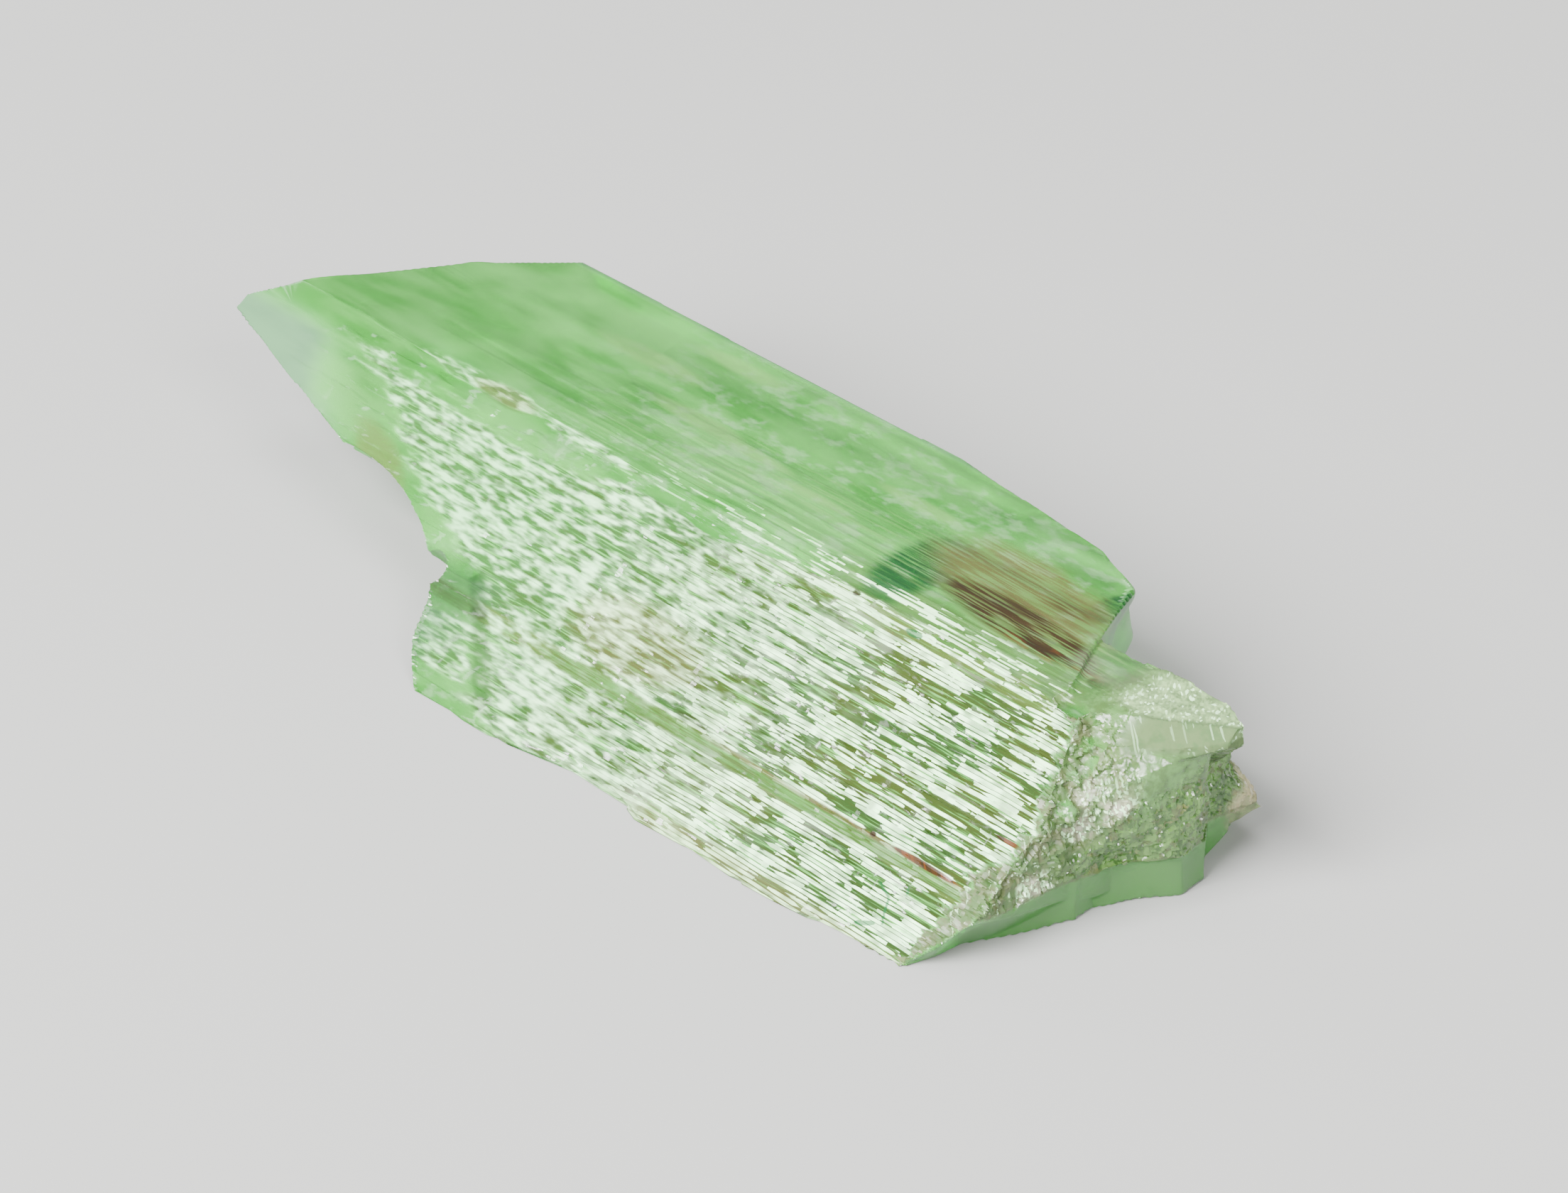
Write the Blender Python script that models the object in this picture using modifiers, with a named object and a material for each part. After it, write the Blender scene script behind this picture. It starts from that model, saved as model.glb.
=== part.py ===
"""A single hiddenite crystal (green spodumene), lying on one of its prism faces.

The crystal is hewn from blocks by its own crystal faces, in a working frame in millimetres: X runs
along the c axis from the termination (-X) to the broken end (+X), Z is up, and the origin is the low
front corner of the broken end. Chips are cut from it, and a ledge, a knob, a skirt, a spike and crumbs
are joined to it. Low relief (stepped striations, a long groove, hackly fracture) is then pressed into
its skin. At the end the mesh is thinned, the base is trimmed flat, and the solid is moved so that its
origin is the middle of its base, and scaled to metres.
"""

import math

import bmesh
import bpy
import numpy as np
from mathutils import Euler, Matrix, Vector

MILLIMETRE = 0.001

# Cross-section of the prism, seen along the c axis.
HEIGHT = 5.3  # base face to top face
FRONT_Y = -0.5  # where the broad face meets the base
CREST_Y = 5.8  # where the broad face meets the top face
RIDGE_Y = 12.95  # far edge of the top face
BACK_Y = 13.6  # the near-vertical back face
HEEL_Y = 11.4  # where the lower back face meets the base
PRISM_ANGLE = math.radians(43.5)  # between a face of form a and a face of form m
BROAD_TILT = math.atan2(HEIGHT, CREST_Y - FRONT_Y)

# Blocks of stock that the crystal is hewn from.
STOCK_START_X = -38.0
STOCK_END_X = 0.95  # the fracture at the broken end
TRUNK_END_X = -1.3  # where the top face steps down to the ledge
NEAR_BLOCK_START_X = -12.0  # the near block overlaps the trunk back to here
STOCK_FRONT_Y, STOCK_BACK_Y = -3.0, 15.0
BELOW_BASE = 0.6  # stock left under the base, trimmed off at the end
CLEAR = 16.0  # how far a cutter reaches past what it cuts

# Termination: a beak of two facets, undercut below the break.
TERMINATION = ((-34.75, 4.9), (-32.2, 10.35), (-30.0, 13.0))  # (x, y) along the top face's end
BEAK_RISE, BEAK_HEIGHT = 1.5, 0.75
UNDERCUT_RISE = -0.45

# Broken end, in plan as (x, y).
RIDGE_END = ((-12.9, 12.95), (-6.4, 12.2), (-4.2, 11.2), (-3.0, 9.2))
RIDGE_END_RISES = (0.75, 0.3, -0.25)
BACK_CORNER = ((-3.0, 12.3), (0.9, 10.05))
LEDGE_DROP = 0.12
LEDGE_BACK_Y = 8.8
UPPER_STEP_X, UPPER_STEP_Z = 0.3, 3.3  # the broad face ends further back above this height
KNOB_FOOT_Z = 3.1
KNOB_PLAN = (
    (-3.0, 5.4), (0.1, 5.6), (1.2, 6.3), (2.5, 7.5), (2.95, 8.0), (2.9, 8.6), (1.8, 9.05), (-3.0, 8.9),
)  # fmt: skip
KNOB_LIP = (3.0, 8.1, 4.8)  # the knob's underside slopes back from here
SKIRT_TOP = 1.1
SKIRT_PLAN = (
    (-3.0, -0.5), (-0.1, -0.4), (-0.05, 1.2), (0.3, 2.5), (1.0, 4.6), (0.75, 5.4), (1.75, 7.6),
    (1.65, 8.6), (0.6, 9.6), (0.0, 11.1), (-3.0, 11.2),
)  # fmt: skip
SPIKE_ROOT, SPIKE_POINT = Vector((-0.9, 9.1, 1.05)), Vector((1.0, 11.3, 0.9))
SPIKE_ROOT_RADIUS, SPIKE_POINT_RADIUS, SPIKE_SIDES = 1.6, 0.12, 6
CRUMBS = (
    (0.75, 3.3, 2.9, 1.1), (0.9, 4.3, 3.6, 1.2), (0.8, 5.2, 4.3, 1.1), (0.7, 1.8, 1.6, 1.0),
    (0.6, 2.5, 2.2, 0.9), (1.2, 6.2, 3.2, 1.0),
)  # fmt: skip  # (x, y, z, size), along the end of the broad face
CRUMB_SQUASH = (1.0, 0.9, 0.8)

# Chipped far front corner, on the broad face as (x, s), with s measured up the face from the base.
TIP_EDGE = ((-35.8, 6.5), (-29.0, 4.66))
TIP_CORNER = math.radians(80)  # inner angle between the broad face and the chip under the tip
LOBE_EDGE = ((-22.7, 3.25), (-22.25, 1.9), (-20.4, 0.4), (-19.2, -0.6))
LOBE_CORNER = math.radians(78)
SCOOP, SCOOP_RADIUS = (-28.05, -3.68), 8.22
NOTCH, NOTCH_RADIUS = (-22.72, 2.8), 0.52
BARREL_LENGTH, BARREL_SIDES = 12.0, 28

# Where the foot of the broad face stands out (+) or draws in (-), as (x, distance).
FOOT_LINE = (
    (-20.5, 0.6), (-16.5, 0.65), (-12.8, -0.05), (-12.1, -0.15), (-11.5, 0.0), (-10.4, 0.38),
    (-8.3, 0.25), (-6.5, 0.35), (-4.8, 0.25), (-2.5, 0.0), (0.0, -0.15),
)  # fmt: skip

# Relief.
SKIN_CELL = 0.17  # grid of the skin that the relief is pressed into
STEP_LENGTH, STEP_WIDTH, STEP_DEPTH = 3.4, 0.43, 0.09  # stepped striations of the broad face
GROOVE_S, GROOVE_DEPTH = 2.45, 0.22  # the long groove low on the broad face
CREST_ROW_WIDTH, CREST_ROW_LENGTH, CREST_ROW_DEPTH = 0.55, 6.5, 0.07
STRIA_WIDTH, STRIA_LENGTH, STRIA_DEPTH = 0.8, 9.0, 0.08  # on the back faces
HILLOCK_CELL, HILLOCK_DEPTH = (2.2, 1.6, 1.3), 0.16  # on the termination
RUBBLE_CELL, FINE_RUBBLE_CELL, RUBBLE_DEPTH = (0.9, 0.8, 0.7), (0.42, 0.4, 0.36), 0.17
RIPPLE_DEPTH = 0.10  # on the shell-shaped skirt
MOST_TRIANGLES = 9400
SLIVER = 0.0015  # edges shorter than this are closed up


# ---- places and directions ----------------------------------------------------------------------------


def broad_normal():
    """The outward normal of the broad face."""
    return Vector((0.0, -math.sin(BROAD_TILT), math.cos(BROAD_TILT)))


def on_broad_face(x, s):
    """The point x along the crystal and s up the broad face from the base."""
    up_face = Vector((0.0, math.cos(BROAD_TILT), math.sin(BROAD_TILT)))
    return Vector((x, FRONT_Y, 0.0)) + up_face * s


def plan_normal(start, end, rise):
    """The outward normal of a face that follows start to end in plan, solid on its right, tilted by rise."""
    run = Vector((end[0] - start[0], end[1] - start[1], 0.0)).normalized()
    return Vector((-run.y, run.x, rise)).normalized()


def plan_faces(outline, rises):
    """Steep faces along a plan outline at the height of the top face, each tilted by its rise."""
    return [
        (Vector((*start, HEIGHT)), plan_normal(start, end, rise))
        for start, end, rise in zip(outline, outline[1:], rises)
    ]


def edge_face(start, end, corner):
    """A face through two points of the broad face, meeting it at the inner angle of a corner."""
    along = (end - start).normalized()
    outwards = along.cross(broad_normal()).normalized()
    return start, outwards * math.sin(corner) - broad_normal() * math.cos(corner)


def prism_faces(top):
    """The faces parallel to the c axis: broad face, bevel over the back, back and heel."""
    bevel = Vector((0.0, math.sin(PRISM_ANGLE), math.cos(PRISM_ANGLE)))
    heel = Vector((0.0, math.cos(PRISM_ANGLE), -math.sin(PRISM_ANGLE)))
    back = Vector((0.0, 1.0, -0.05)).normalized()
    return [
        (on_broad_face(0.0, 0.0), broad_normal()),
        (Vector((0.0, RIDGE_Y, top)), bevel),
        (Vector((0.0, BACK_Y, HEIGHT / 2)), back),
        (Vector((0.0, HEEL_Y, 0.0)), heel),
    ]


# ---- ways of making a block ---------------------------------------------------------------------------


def as_helper(name, shape, helpers):
    """Turns a bmesh into an object of the helpers' collection, drawn as a wire and never rendered."""
    bmesh.ops.recalc_face_normals(shape, faces=shape.faces)
    mesh = bpy.data.meshes.new(name)
    shape.to_mesh(mesh)
    shape.free()
    helper = bpy.data.objects.new(name, mesh)
    helpers.objects.link(helper)
    helper.hide_render = True
    helper.display_type = "WIRE"
    return helper


def hewn(name, low, high, faces, helpers):
    """A block from low to high, cut by faces given as a point on each and its outward normal."""
    shape = bmesh.new()
    bmesh.ops.create_cube(shape, size=1.0)
    bmesh.ops.scale(shape, vec=Vector(high) - Vector(low), verts=shape.verts)
    bmesh.ops.translate(shape, vec=(Vector(high) + Vector(low)) / 2, verts=shape.verts)
    for point, normal in faces:
        everything = shape.verts[:] + shape.edges[:] + shape.faces[:]
        cut = bmesh.ops.bisect_plane(
            shape, geom=everything, plane_co=point, plane_no=normal, clear_outer=True
        )
        rim = [item for item in cut["geom_cut"] if isinstance(item, bmesh.types.BMEdge)]
        if rim:
            bmesh.ops.edgeloop_fill(shape, edges=rim)
    return as_helper(name, shape, helpers)


def slab(name, outline, low_z, high_z, helpers):
    """An upright slab on a plan outline of (x, y) points."""
    curve = bpy.data.curves.new(name + "_outline", "CURVE")
    curve.dimensions = "2D"
    curve.fill_mode = "BOTH"
    curve.extrude = (high_z - low_z) / 2
    spline = curve.splines.new("POLY")
    spline.points.add(len(outline) - 1)
    for point, (x, y) in zip(spline.points, outline):
        point.co = (x, y, 0.0, 1.0)
    spline.use_cyclic_u = True
    guide = bpy.data.objects.new(name + "_outline", curve)
    guide.location.z = (high_z + low_z) / 2
    bpy.context.scene.collection.objects.link(guide)
    bpy.context.view_layer.update()
    mesh = bpy.data.meshes.new_from_object(guide.evaluated_get(bpy.context.evaluated_depsgraph_get()))
    mesh.transform(guide.matrix_world)
    bpy.data.objects.remove(guide)
    shape = bmesh.new()
    shape.from_mesh(mesh)
    bmesh.ops.remove_doubles(shape, verts=shape.verts, dist=SLIVER)
    return as_helper(name, shape, helpers)


def barrel(name, centre, axis, radius, helpers):
    """A round cutter about an axis, for a scooped chip."""
    shape = bmesh.new()
    bmesh.ops.create_cone(
        shape,
        cap_ends=True,
        segments=BARREL_SIDES,
        radius1=radius,
        radius2=radius,
        depth=BARREL_LENGTH,
    )
    turn = Vector((0.0, 0.0, 1.0)).rotation_difference(axis).to_matrix().to_4x4()
    bmesh.ops.transform(shape, matrix=Matrix.Translation(centre) @ turn, verts=shape.verts)
    return as_helper(name, shape, helpers)


def combine(body, other, operation):
    """Joins a block to the body, or cuts it away."""
    modifier = body.modifiers.new(other.name, "BOOLEAN")
    modifier.operation = operation
    modifier.solver = "EXACT"
    modifier.object = other


def settle(body):
    """Applies the body's modifiers to its mesh."""
    bpy.context.view_layer.update()
    mesh = bpy.data.meshes.new_from_object(body.evaluated_get(bpy.context.evaluated_depsgraph_get()))
    body.modifiers.clear()
    body.data = mesh


# ---- the crystal's own shapes -------------------------------------------------------------------------


def model_trunk(helpers):
    """The full-width part of the crystal, with its termination and its drawn-in ridge."""
    beak = plan_faces(TERMINATION, (BEAK_RISE, BEAK_RISE))
    undercut = []
    for point, normal in plan_faces(TERMINATION, (UNDERCUT_RISE, UNDERCUT_RISE)):
        level = Vector((normal.x, normal.y, 0.0)).normalized()
        below = point + level * BEAK_RISE * BEAK_HEIGHT - Vector((0.0, 0.0, BEAK_HEIGHT))
        undercut.append((below, normal))
    drawn_in = plan_faces(RIDGE_END, RIDGE_END_RISES)
    return hewn(
        "crystal",
        (STOCK_START_X, STOCK_FRONT_Y, -BELOW_BASE),
        (TRUNK_END_X, STOCK_BACK_Y, HEIGHT),
        prism_faces(HEIGHT) + beak + undercut + drawn_in,
        helpers,
    )


def model_near_block(helpers):
    """The narrower stretch that carries on to the fracture, its upper back broken to a slope."""
    top = HEIGHT - LEDGE_DROP
    slope = (Vector((0.0, LEDGE_BACK_Y, top)), Vector((0.0, 0.70, 0.714)))
    front_corner = (on_broad_face(0.05, 0.0), Vector((0.82, -0.50, -0.12)).normalized())
    low_recess = (Vector((STOCK_END_X, 1.0, SKIRT_TOP)), Vector((0.78, -0.1, -0.62)).normalized())
    block = hewn(
        "near_block",
        (NEAR_BLOCK_START_X, STOCK_FRONT_Y, -BELOW_BASE),
        (STOCK_END_X, STOCK_BACK_Y, top),
        prism_faces(HEIGHT) + [slope, front_corner, low_recess] + plan_faces(BACK_CORNER, (0.0,)),
        helpers,
    )
    upper_step = hewn(
        "upper_step",
        (UPPER_STEP_X, 1.0, UPPER_STEP_Z),
        (STOCK_END_X + CLEAR, 6.2, HEIGHT + CLEAR),
        [],
        helpers,
    )
    combine(block, upper_step, "DIFFERENCE")
    settle(block)
    return block


def model_knob(helpers):
    """The frosted knob that stands out past the fracture, level with the ledge."""
    knob = slab("knob", KNOB_PLAN, KNOB_FOOT_Z, HEIGHT - LEDGE_DROP, helpers)
    underside = (Vector(KNOB_LIP), Vector((-0.60, 0.22, 0.77)).normalized())
    under = hewn("knob_under", (-CLEAR,) * 3, (CLEAR,) * 3, [underside], helpers)
    combine(knob, under, "DIFFERENCE")
    settle(knob)
    return knob


def model_skirt(helpers):
    """The smooth shell-shaped step along the foot of the fracture."""
    skirt = slab("skirt", SKIRT_PLAN, -BELOW_BASE, SKIRT_TOP, helpers)
    broad = (on_broad_face(0.0, 0.0), -broad_normal())
    over = hewn("skirt_over", (-CLEAR,) * 3, (CLEAR,) * 3, [broad], helpers)
    combine(skirt, over, "DIFFERENCE")
    settle(skirt)
    return skirt


def model_spike(helpers):
    """The pointed splinter at the low back corner of the fracture."""
    run = SPIKE_POINT - SPIKE_ROOT
    shape = bmesh.new()
    bmesh.ops.create_cone(
        shape,
        cap_ends=True,
        segments=SPIKE_SIDES,
        radius1=SPIKE_ROOT_RADIUS,
        radius2=SPIKE_POINT_RADIUS,
        depth=run.length,
    )
    turn = Vector((0.0, 0.0, 1.0)).rotation_difference(run).to_matrix().to_4x4()
    middle = Matrix.Translation((SPIKE_ROOT + SPIKE_POINT) / 2)
    bmesh.ops.transform(shape, matrix=middle @ turn, verts=shape.verts)
    return as_helper("spike", shape, helpers)


def model_crumbs(helpers):
    """The crumbly lumps along the end of the broad face: coarse balls with flat facets, each turned."""
    crumbs = []
    for index, (x, y, z, size) in enumerate(CRUMBS):
        shape = bmesh.new()
        bmesh.ops.create_icosphere(shape, subdivisions=1, radius=size / 2)
        turn = Euler((1.3 * index, 2.1 * index, 0.7 * index)).to_matrix().to_4x4()
        squash = Matrix.Diagonal((*CRUMB_SQUASH, 1.0))
        place = Matrix.Translation((x, y, z)) @ squash @ turn
        bmesh.ops.transform(shape, matrix=place, verts=shape.verts)
        crumbs.append(as_helper(f"crumb_{index}", shape, helpers))
    return crumbs


def model_chips(helpers):
    """What is broken away at the far front corner: under the tip, past the lobe, a notch and a scoop."""
    tip_start, tip_end = (on_broad_face(*mark) for mark in TIP_EDGE)
    tip_point, tip_normal = edge_face(tip_start, tip_end, TIP_CORNER)
    cutters = []
    for index, (start, end) in enumerate(zip(LOBE_EDGE, LOBE_EDGE[1:])):
        point, normal = edge_face(on_broad_face(*start), on_broad_face(*end), LOBE_CORNER)
        cutters.append(
            hewn(
                f"chip_{index}",
                (STOCK_START_X - CLEAR, -CLEAR, -CLEAR),
                (NEAR_BLOCK_START_X, CLEAR, CLEAR),
                [(tip_point, -tip_normal), (point, -normal)],
                helpers,
            )
        )
    down_the_chip = (tip_end - tip_start).normalized().cross(tip_normal)
    cutters.append(barrel("notch", on_broad_face(*NOTCH), down_the_chip, NOTCH_RADIUS, helpers))
    cutters.append(barrel("scoop", on_broad_face(*SCOOP), down_the_chip, SCOOP_RADIUS, helpers))
    return cutters


def model_blocks(helpers):
    """The crystal with flat faces, as closed blocks in one mesh that the skin then makes one."""
    body = model_trunk(helpers)
    for cutter in model_chips(helpers):
        combine(body, cutter, "DIFFERENCE")
    settle(body)
    joined = [model_near_block(helpers), model_knob(helpers), model_skirt(helpers), model_spike(helpers)]
    shape = bmesh.new()
    for piece in [body] + joined + model_crumbs(helpers):
        shape.from_mesh(piece.data)
    shape.to_mesh(body.data)
    shape.free()
    return body


# ---- relief -------------------------------------------------------------------------------------------


def smooth_step(low, high, value):
    """0 below low, 1 above high, smooth between; low may be the greater, which turns it round."""
    share = np.clip((value - low) / (high - low), 0.0, 1.0)
    return share * share * (3.0 - 2.0 * share)


def scatter(*keys):
    """A repeatable number from 0 to 1 for each set of whole-number keys."""
    mixed = np.zeros(np.shape(keys[0]), np.uint64)
    for key in keys:
        whole = np.broadcast_to(key, mixed.shape).astype(np.int64).astype(np.uint64)
        mixed = (mixed ^ whole) * np.uint64(0x9E3779B97F4A7C15)
        mixed ^= mixed >> np.uint64(29)
    mixed *= np.uint64(0xBF58476D1CE4E5B9)
    mixed ^= mixed >> np.uint64(32)
    return (mixed >> np.uint64(40)).astype(np.float64) / float(1 << 24)


def lattice_noise(points, cell, seed):
    """Smooth noise from -1 to 1 on a grid of cells, whose size may differ along X, Y and Z."""
    grid = points / np.array(cell)
    base = np.floor(grid)
    share = grid - base
    share = share * share * (3.0 - 2.0 * share)
    total = np.zeros(len(grid))
    for corner in np.ndindex(2, 2, 2):
        sides = np.where(np.array(corner) == 1, share, 1.0 - share)
        keys = [base[:, axis] + corner[axis] for axis in range(3)]
        total += sides.prod(axis=1) * scatter(*keys, seed)
    return total * 2.0 - 1.0


def bricks(along, across, length, width, seed):
    """A repeatable number for each brick of a wall laid along the c axis, with rows of unlike bricks."""
    row = np.floor(across / width)
    own_length = length * (0.6 + 0.9 * scatter(row, seed))
    column = np.floor(along / own_length + scatter(row, seed + 1))
    return scatter(row, column, seed + 2)


def striation_depth(x, s):
    """How far the broad face sinks below its highest plateaus, in two steps."""
    draw = bricks(x, s + 0.1 * np.sin(x / 7.0), STEP_LENGTH, STEP_WIDTH, 3)
    return STEP_DEPTH * ((draw > 0.42).astype(float) + (draw > 0.78))


def groove_depth(x, s):
    """The long smooth groove low on the broad face, wider towards the termination."""
    half_width = 0.34 + 0.025 * np.clip(-x, 0.0, 20.0)
    return GROOVE_DEPTH * smooth_step(-19.5, -15.0, x) * np.exp(-(((s - GROOVE_S) / half_width) ** 2))


def foot_wander(x, s):
    """How far the foot of the broad face stands out or draws in."""
    marks = np.array(FOOT_LINE)
    return np.interp(x, marks[:, 0], marks[:, 1]) * smooth_step(2.3, 0.3, s)


def press_relief(mesh):
    """Presses ledges, grooves, striations and hackly fracture into the fine skin."""
    count = len(mesh.vertices)
    points, normals = np.empty(count * 3), np.empty(count * 3)
    mesh.vertices.foreach_get("co", points)
    mesh.vertex_normals.foreach_get("vector", normals)
    points, normals = points.reshape(-1, 3), normals.reshape(-1, 3)
    x, y, z = points.T
    face = np.array(broad_normal())
    lift = (points - np.array(on_broad_face(0.0, 0.0))) @ face
    s = (y - FRONT_Y) * math.cos(BROAD_TILT) + z * math.sin(BROAD_TILT)
    crest_s = (CREST_Y - FRONT_Y) / math.cos(BROAD_TILT)

    on_broad = smooth_step(0.80, 0.95, normals @ face) * smooth_step(0.5, 0.2, np.abs(lift))
    striated = smooth_step(crest_s - 0.1, crest_s - 0.7, s) * smooth_step(-34.0, -30.0, x)
    sink = on_broad * (striated * striation_depth(x, s) + groove_depth(x, s))

    on_top = smooth_step(0.9, 0.98, normals[:, 2]) * smooth_step(HEIGHT - 0.4, HEIGHT - 0.2, z)
    near_crest = smooth_step(CREST_Y + 3.2, CREST_Y + 0.6, y) * smooth_step(-30.0, -24.0, x)
    crest_rows = bricks(x, y, CREST_ROW_LENGTH, CREST_ROW_WIDTH, 31)
    sink += on_top * near_crest * CREST_ROW_DEPTH * (crest_rows > 0.5)

    on_end = smooth_step(-2.2, -0.4, x) * smooth_step(0.05, 0.35, normals[:, 0])
    on_end = np.maximum(on_end, smooth_step(-3.0, -1.5, x) * smooth_step(8.0, 9.4, y))
    hackly = on_end * smooth_step(SKIRT_TOP - 0.2, SKIRT_TOP + 0.2, z) * (1.0 - on_broad)
    rubble = lattice_noise(points, RUBBLE_CELL, 11) + 0.6 * lattice_noise(points, FINE_RUBBLE_CELL, 12)
    ripples = np.sin(2.1 * y + 1.3 * z)
    raised = RUBBLE_DEPTH * hackly * rubble + RIPPLE_DEPTH * on_end * (1.0 - hackly) * ripples

    elsewhere = (1.0 - on_broad) * (1.0 - on_top) * (1.0 - on_end) * smooth_step(0.15, 0.5, z)
    parallel_to_c = smooth_step(0.35, 0.15, np.abs(normals[:, 0]))
    striae = bricks(x, 0.8 * y - 1.1 * z, STRIA_LENGTH, STRIA_WIDTH, 41)
    sink += elsewhere * parallel_to_c * STRIA_DEPTH * (striae > 0.55)
    sink += elsewhere * (1.0 - parallel_to_c) * HILLOCK_DEPTH * lattice_noise(points, HILLOCK_CELL, 21)

    moved = points + normals * (raised - sink)[:, None]
    moved[:, 1] -= smooth_step(-2.6, -0.4, lift) * foot_wander(x, s)
    mesh.vertices.foreach_set("co", moved.reshape(-1))
    mesh.update()


# ---- finishing ----------------------------------------------------------------------------------------


def drop_specks(shape):
    """Removes any speck that thinning the mesh has left loose beside the crystal."""
    waiting = set(shape.verts)
    clusters = []
    while waiting:
        cluster, frontier = set(), [waiting.pop()]
        while frontier:
            vert = frontier.pop()
            cluster.add(vert)
            for edge in vert.link_edges:
                other = edge.other_vert(vert)
                if other in waiting:
                    waiting.remove(other)
                    frontier.append(other)
        clusters.append(cluster)
    clusters.sort(key=len)
    for cluster in clusters[:-1]:
        bmesh.ops.delete(shape, geom=list(cluster), context="VERTS")


def finish_solid(body, helpers):
    """Makes the blocks one skin, gives it its relief, thins it, trims the base flat and scales it."""
    skin = body.modifiers.new("skin", "REMESH")
    skin.mode = "VOXEL"
    skin.voxel_size = SKIN_CELL
    settle(body)
    press_relief(body.data)
    body.data.calc_loop_triangles()
    thin = body.modifiers.new("thin", "DECIMATE")
    thin.ratio = MOST_TRIANGLES / len(body.data.loop_triangles)
    under_base = hewn("under_base", (-4 * CLEAR,) * 3, (4 * CLEAR, 4 * CLEAR, 0.0), [], helpers)
    combine(body, under_base, "DIFFERENCE")
    settle(body)

    shape = bmesh.new()
    shape.from_mesh(body.data)
    bmesh.ops.remove_doubles(shape, verts=shape.verts, dist=SLIVER)
    bmesh.ops.dissolve_degenerate(shape, dist=SLIVER, edges=shape.edges)
    bmesh.ops.triangulate(shape, faces=shape.faces)
    drop_specks(shape)
    bmesh.ops.recalc_face_normals(shape, faces=shape.faces)
    across = [vert.co.x for vert in shape.verts]
    deep = [vert.co.y for vert in shape.verts]
    middle = Vector(((min(across) + max(across)) / 2, (min(deep) + max(deep)) / 2, 0.0))
    bmesh.ops.translate(shape, vec=-middle, verts=shape.verts)
    bmesh.ops.scale(shape, vec=Vector((MILLIMETRE,) * 3), verts=shape.verts)
    shape.to_mesh(body.data)
    shape.free()


def hiddenite():
    """The material: clear green spodumene, lightly etched."""
    material = bpy.data.materials.new("hiddenite")
    material.use_nodes = True
    shader = material.node_tree.nodes["Principled BSDF"]
    shader.inputs["Base Color"].default_value = (0.30, 0.58, 0.28, 1.0)
    shader.inputs["Roughness"].default_value = 0.25
    shader.inputs["Metallic"].default_value = 0.0
    shader.inputs["IOR"].default_value = 1.66
    shader.inputs["Transmission Weight"].default_value = 0.6
    return material


def main():
    """Clears the scene and models the crystal."""
    for old in list(bpy.data.objects):
        bpy.data.objects.remove(old)
    helpers = bpy.data.collections.new("helpers")
    specimen = bpy.data.collections.new("hiddenite_crystal")
    bpy.context.scene.collection.children.link(helpers)
    bpy.context.scene.collection.children.link(specimen)
    crystal = model_blocks(helpers)
    finish_solid(crystal, helpers)
    helpers.objects.unlink(crystal)
    specimen.objects.link(crystal)
    crystal.hide_render = False
    crystal.display_type = "TEXTURED"
    crystal.data.materials.clear()
    crystal.data.materials.append(hiddenite())
    for helper in list(helpers.objects):
        bpy.data.objects.remove(helper)


main()
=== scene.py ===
"""A hiddenite crystal (green spodumene) lying on a pale floor, dressed on its CAD frame.

The crystal is hewn from blocks by its own crystal faces and given one fine skin, in a working frame in
millimetres: X runs along the c axis from the termination (-X) to the broken end (+X), Z is up, and the
origin is the low front corner of the broken end. Etched striations, a groove, hackly rubble and a
shell-shaped break are pressed into the skin, which is then thinned, centred and scaled to metres.
"""

import logging
import math
from dataclasses import dataclass, field
from enum import Enum
from typing import Sequence, Union

import bmesh
import bpy
import numpy as np
from mathutils import Euler, Matrix, Vector


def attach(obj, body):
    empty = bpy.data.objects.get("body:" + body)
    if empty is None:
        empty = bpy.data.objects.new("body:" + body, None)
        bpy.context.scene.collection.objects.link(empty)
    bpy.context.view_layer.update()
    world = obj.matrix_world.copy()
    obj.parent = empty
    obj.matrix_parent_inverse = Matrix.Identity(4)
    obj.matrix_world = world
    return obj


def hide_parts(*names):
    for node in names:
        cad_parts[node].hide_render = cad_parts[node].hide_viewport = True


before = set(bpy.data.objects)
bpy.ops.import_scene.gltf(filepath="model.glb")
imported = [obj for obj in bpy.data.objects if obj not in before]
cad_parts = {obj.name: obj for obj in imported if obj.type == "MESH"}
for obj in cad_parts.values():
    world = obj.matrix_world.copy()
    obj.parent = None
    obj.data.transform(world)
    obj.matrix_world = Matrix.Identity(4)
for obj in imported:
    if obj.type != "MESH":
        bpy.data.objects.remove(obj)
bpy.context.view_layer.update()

LOG = logging.getLogger("hiddenite")
MILLIMETRE = 0.001
Mark = tuple[float, float]
Spot = tuple[float, float, float]
Oval = tuple[float, float, float, float]
Face = tuple[Vector, Vector]


# ---- numbers over arrays ------------------------------------------------------------------------------


def smooth_step(low: float, high: float, value: np.ndarray) -> np.ndarray:
    """Rises smoothly from 0 at low to 1 at high.

    Args:
        low: Where the result is 0. It may be the greater of the two, which turns the step round.
        high: Where the result is 1.
        value: The numbers to map.

    Returns:
        One number from 0 to 1 for each value.
    """
    share = np.clip((value - low) / (high - low), 0.0, 1.0)
    return share * share * (3.0 - 2.0 * share)


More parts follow.
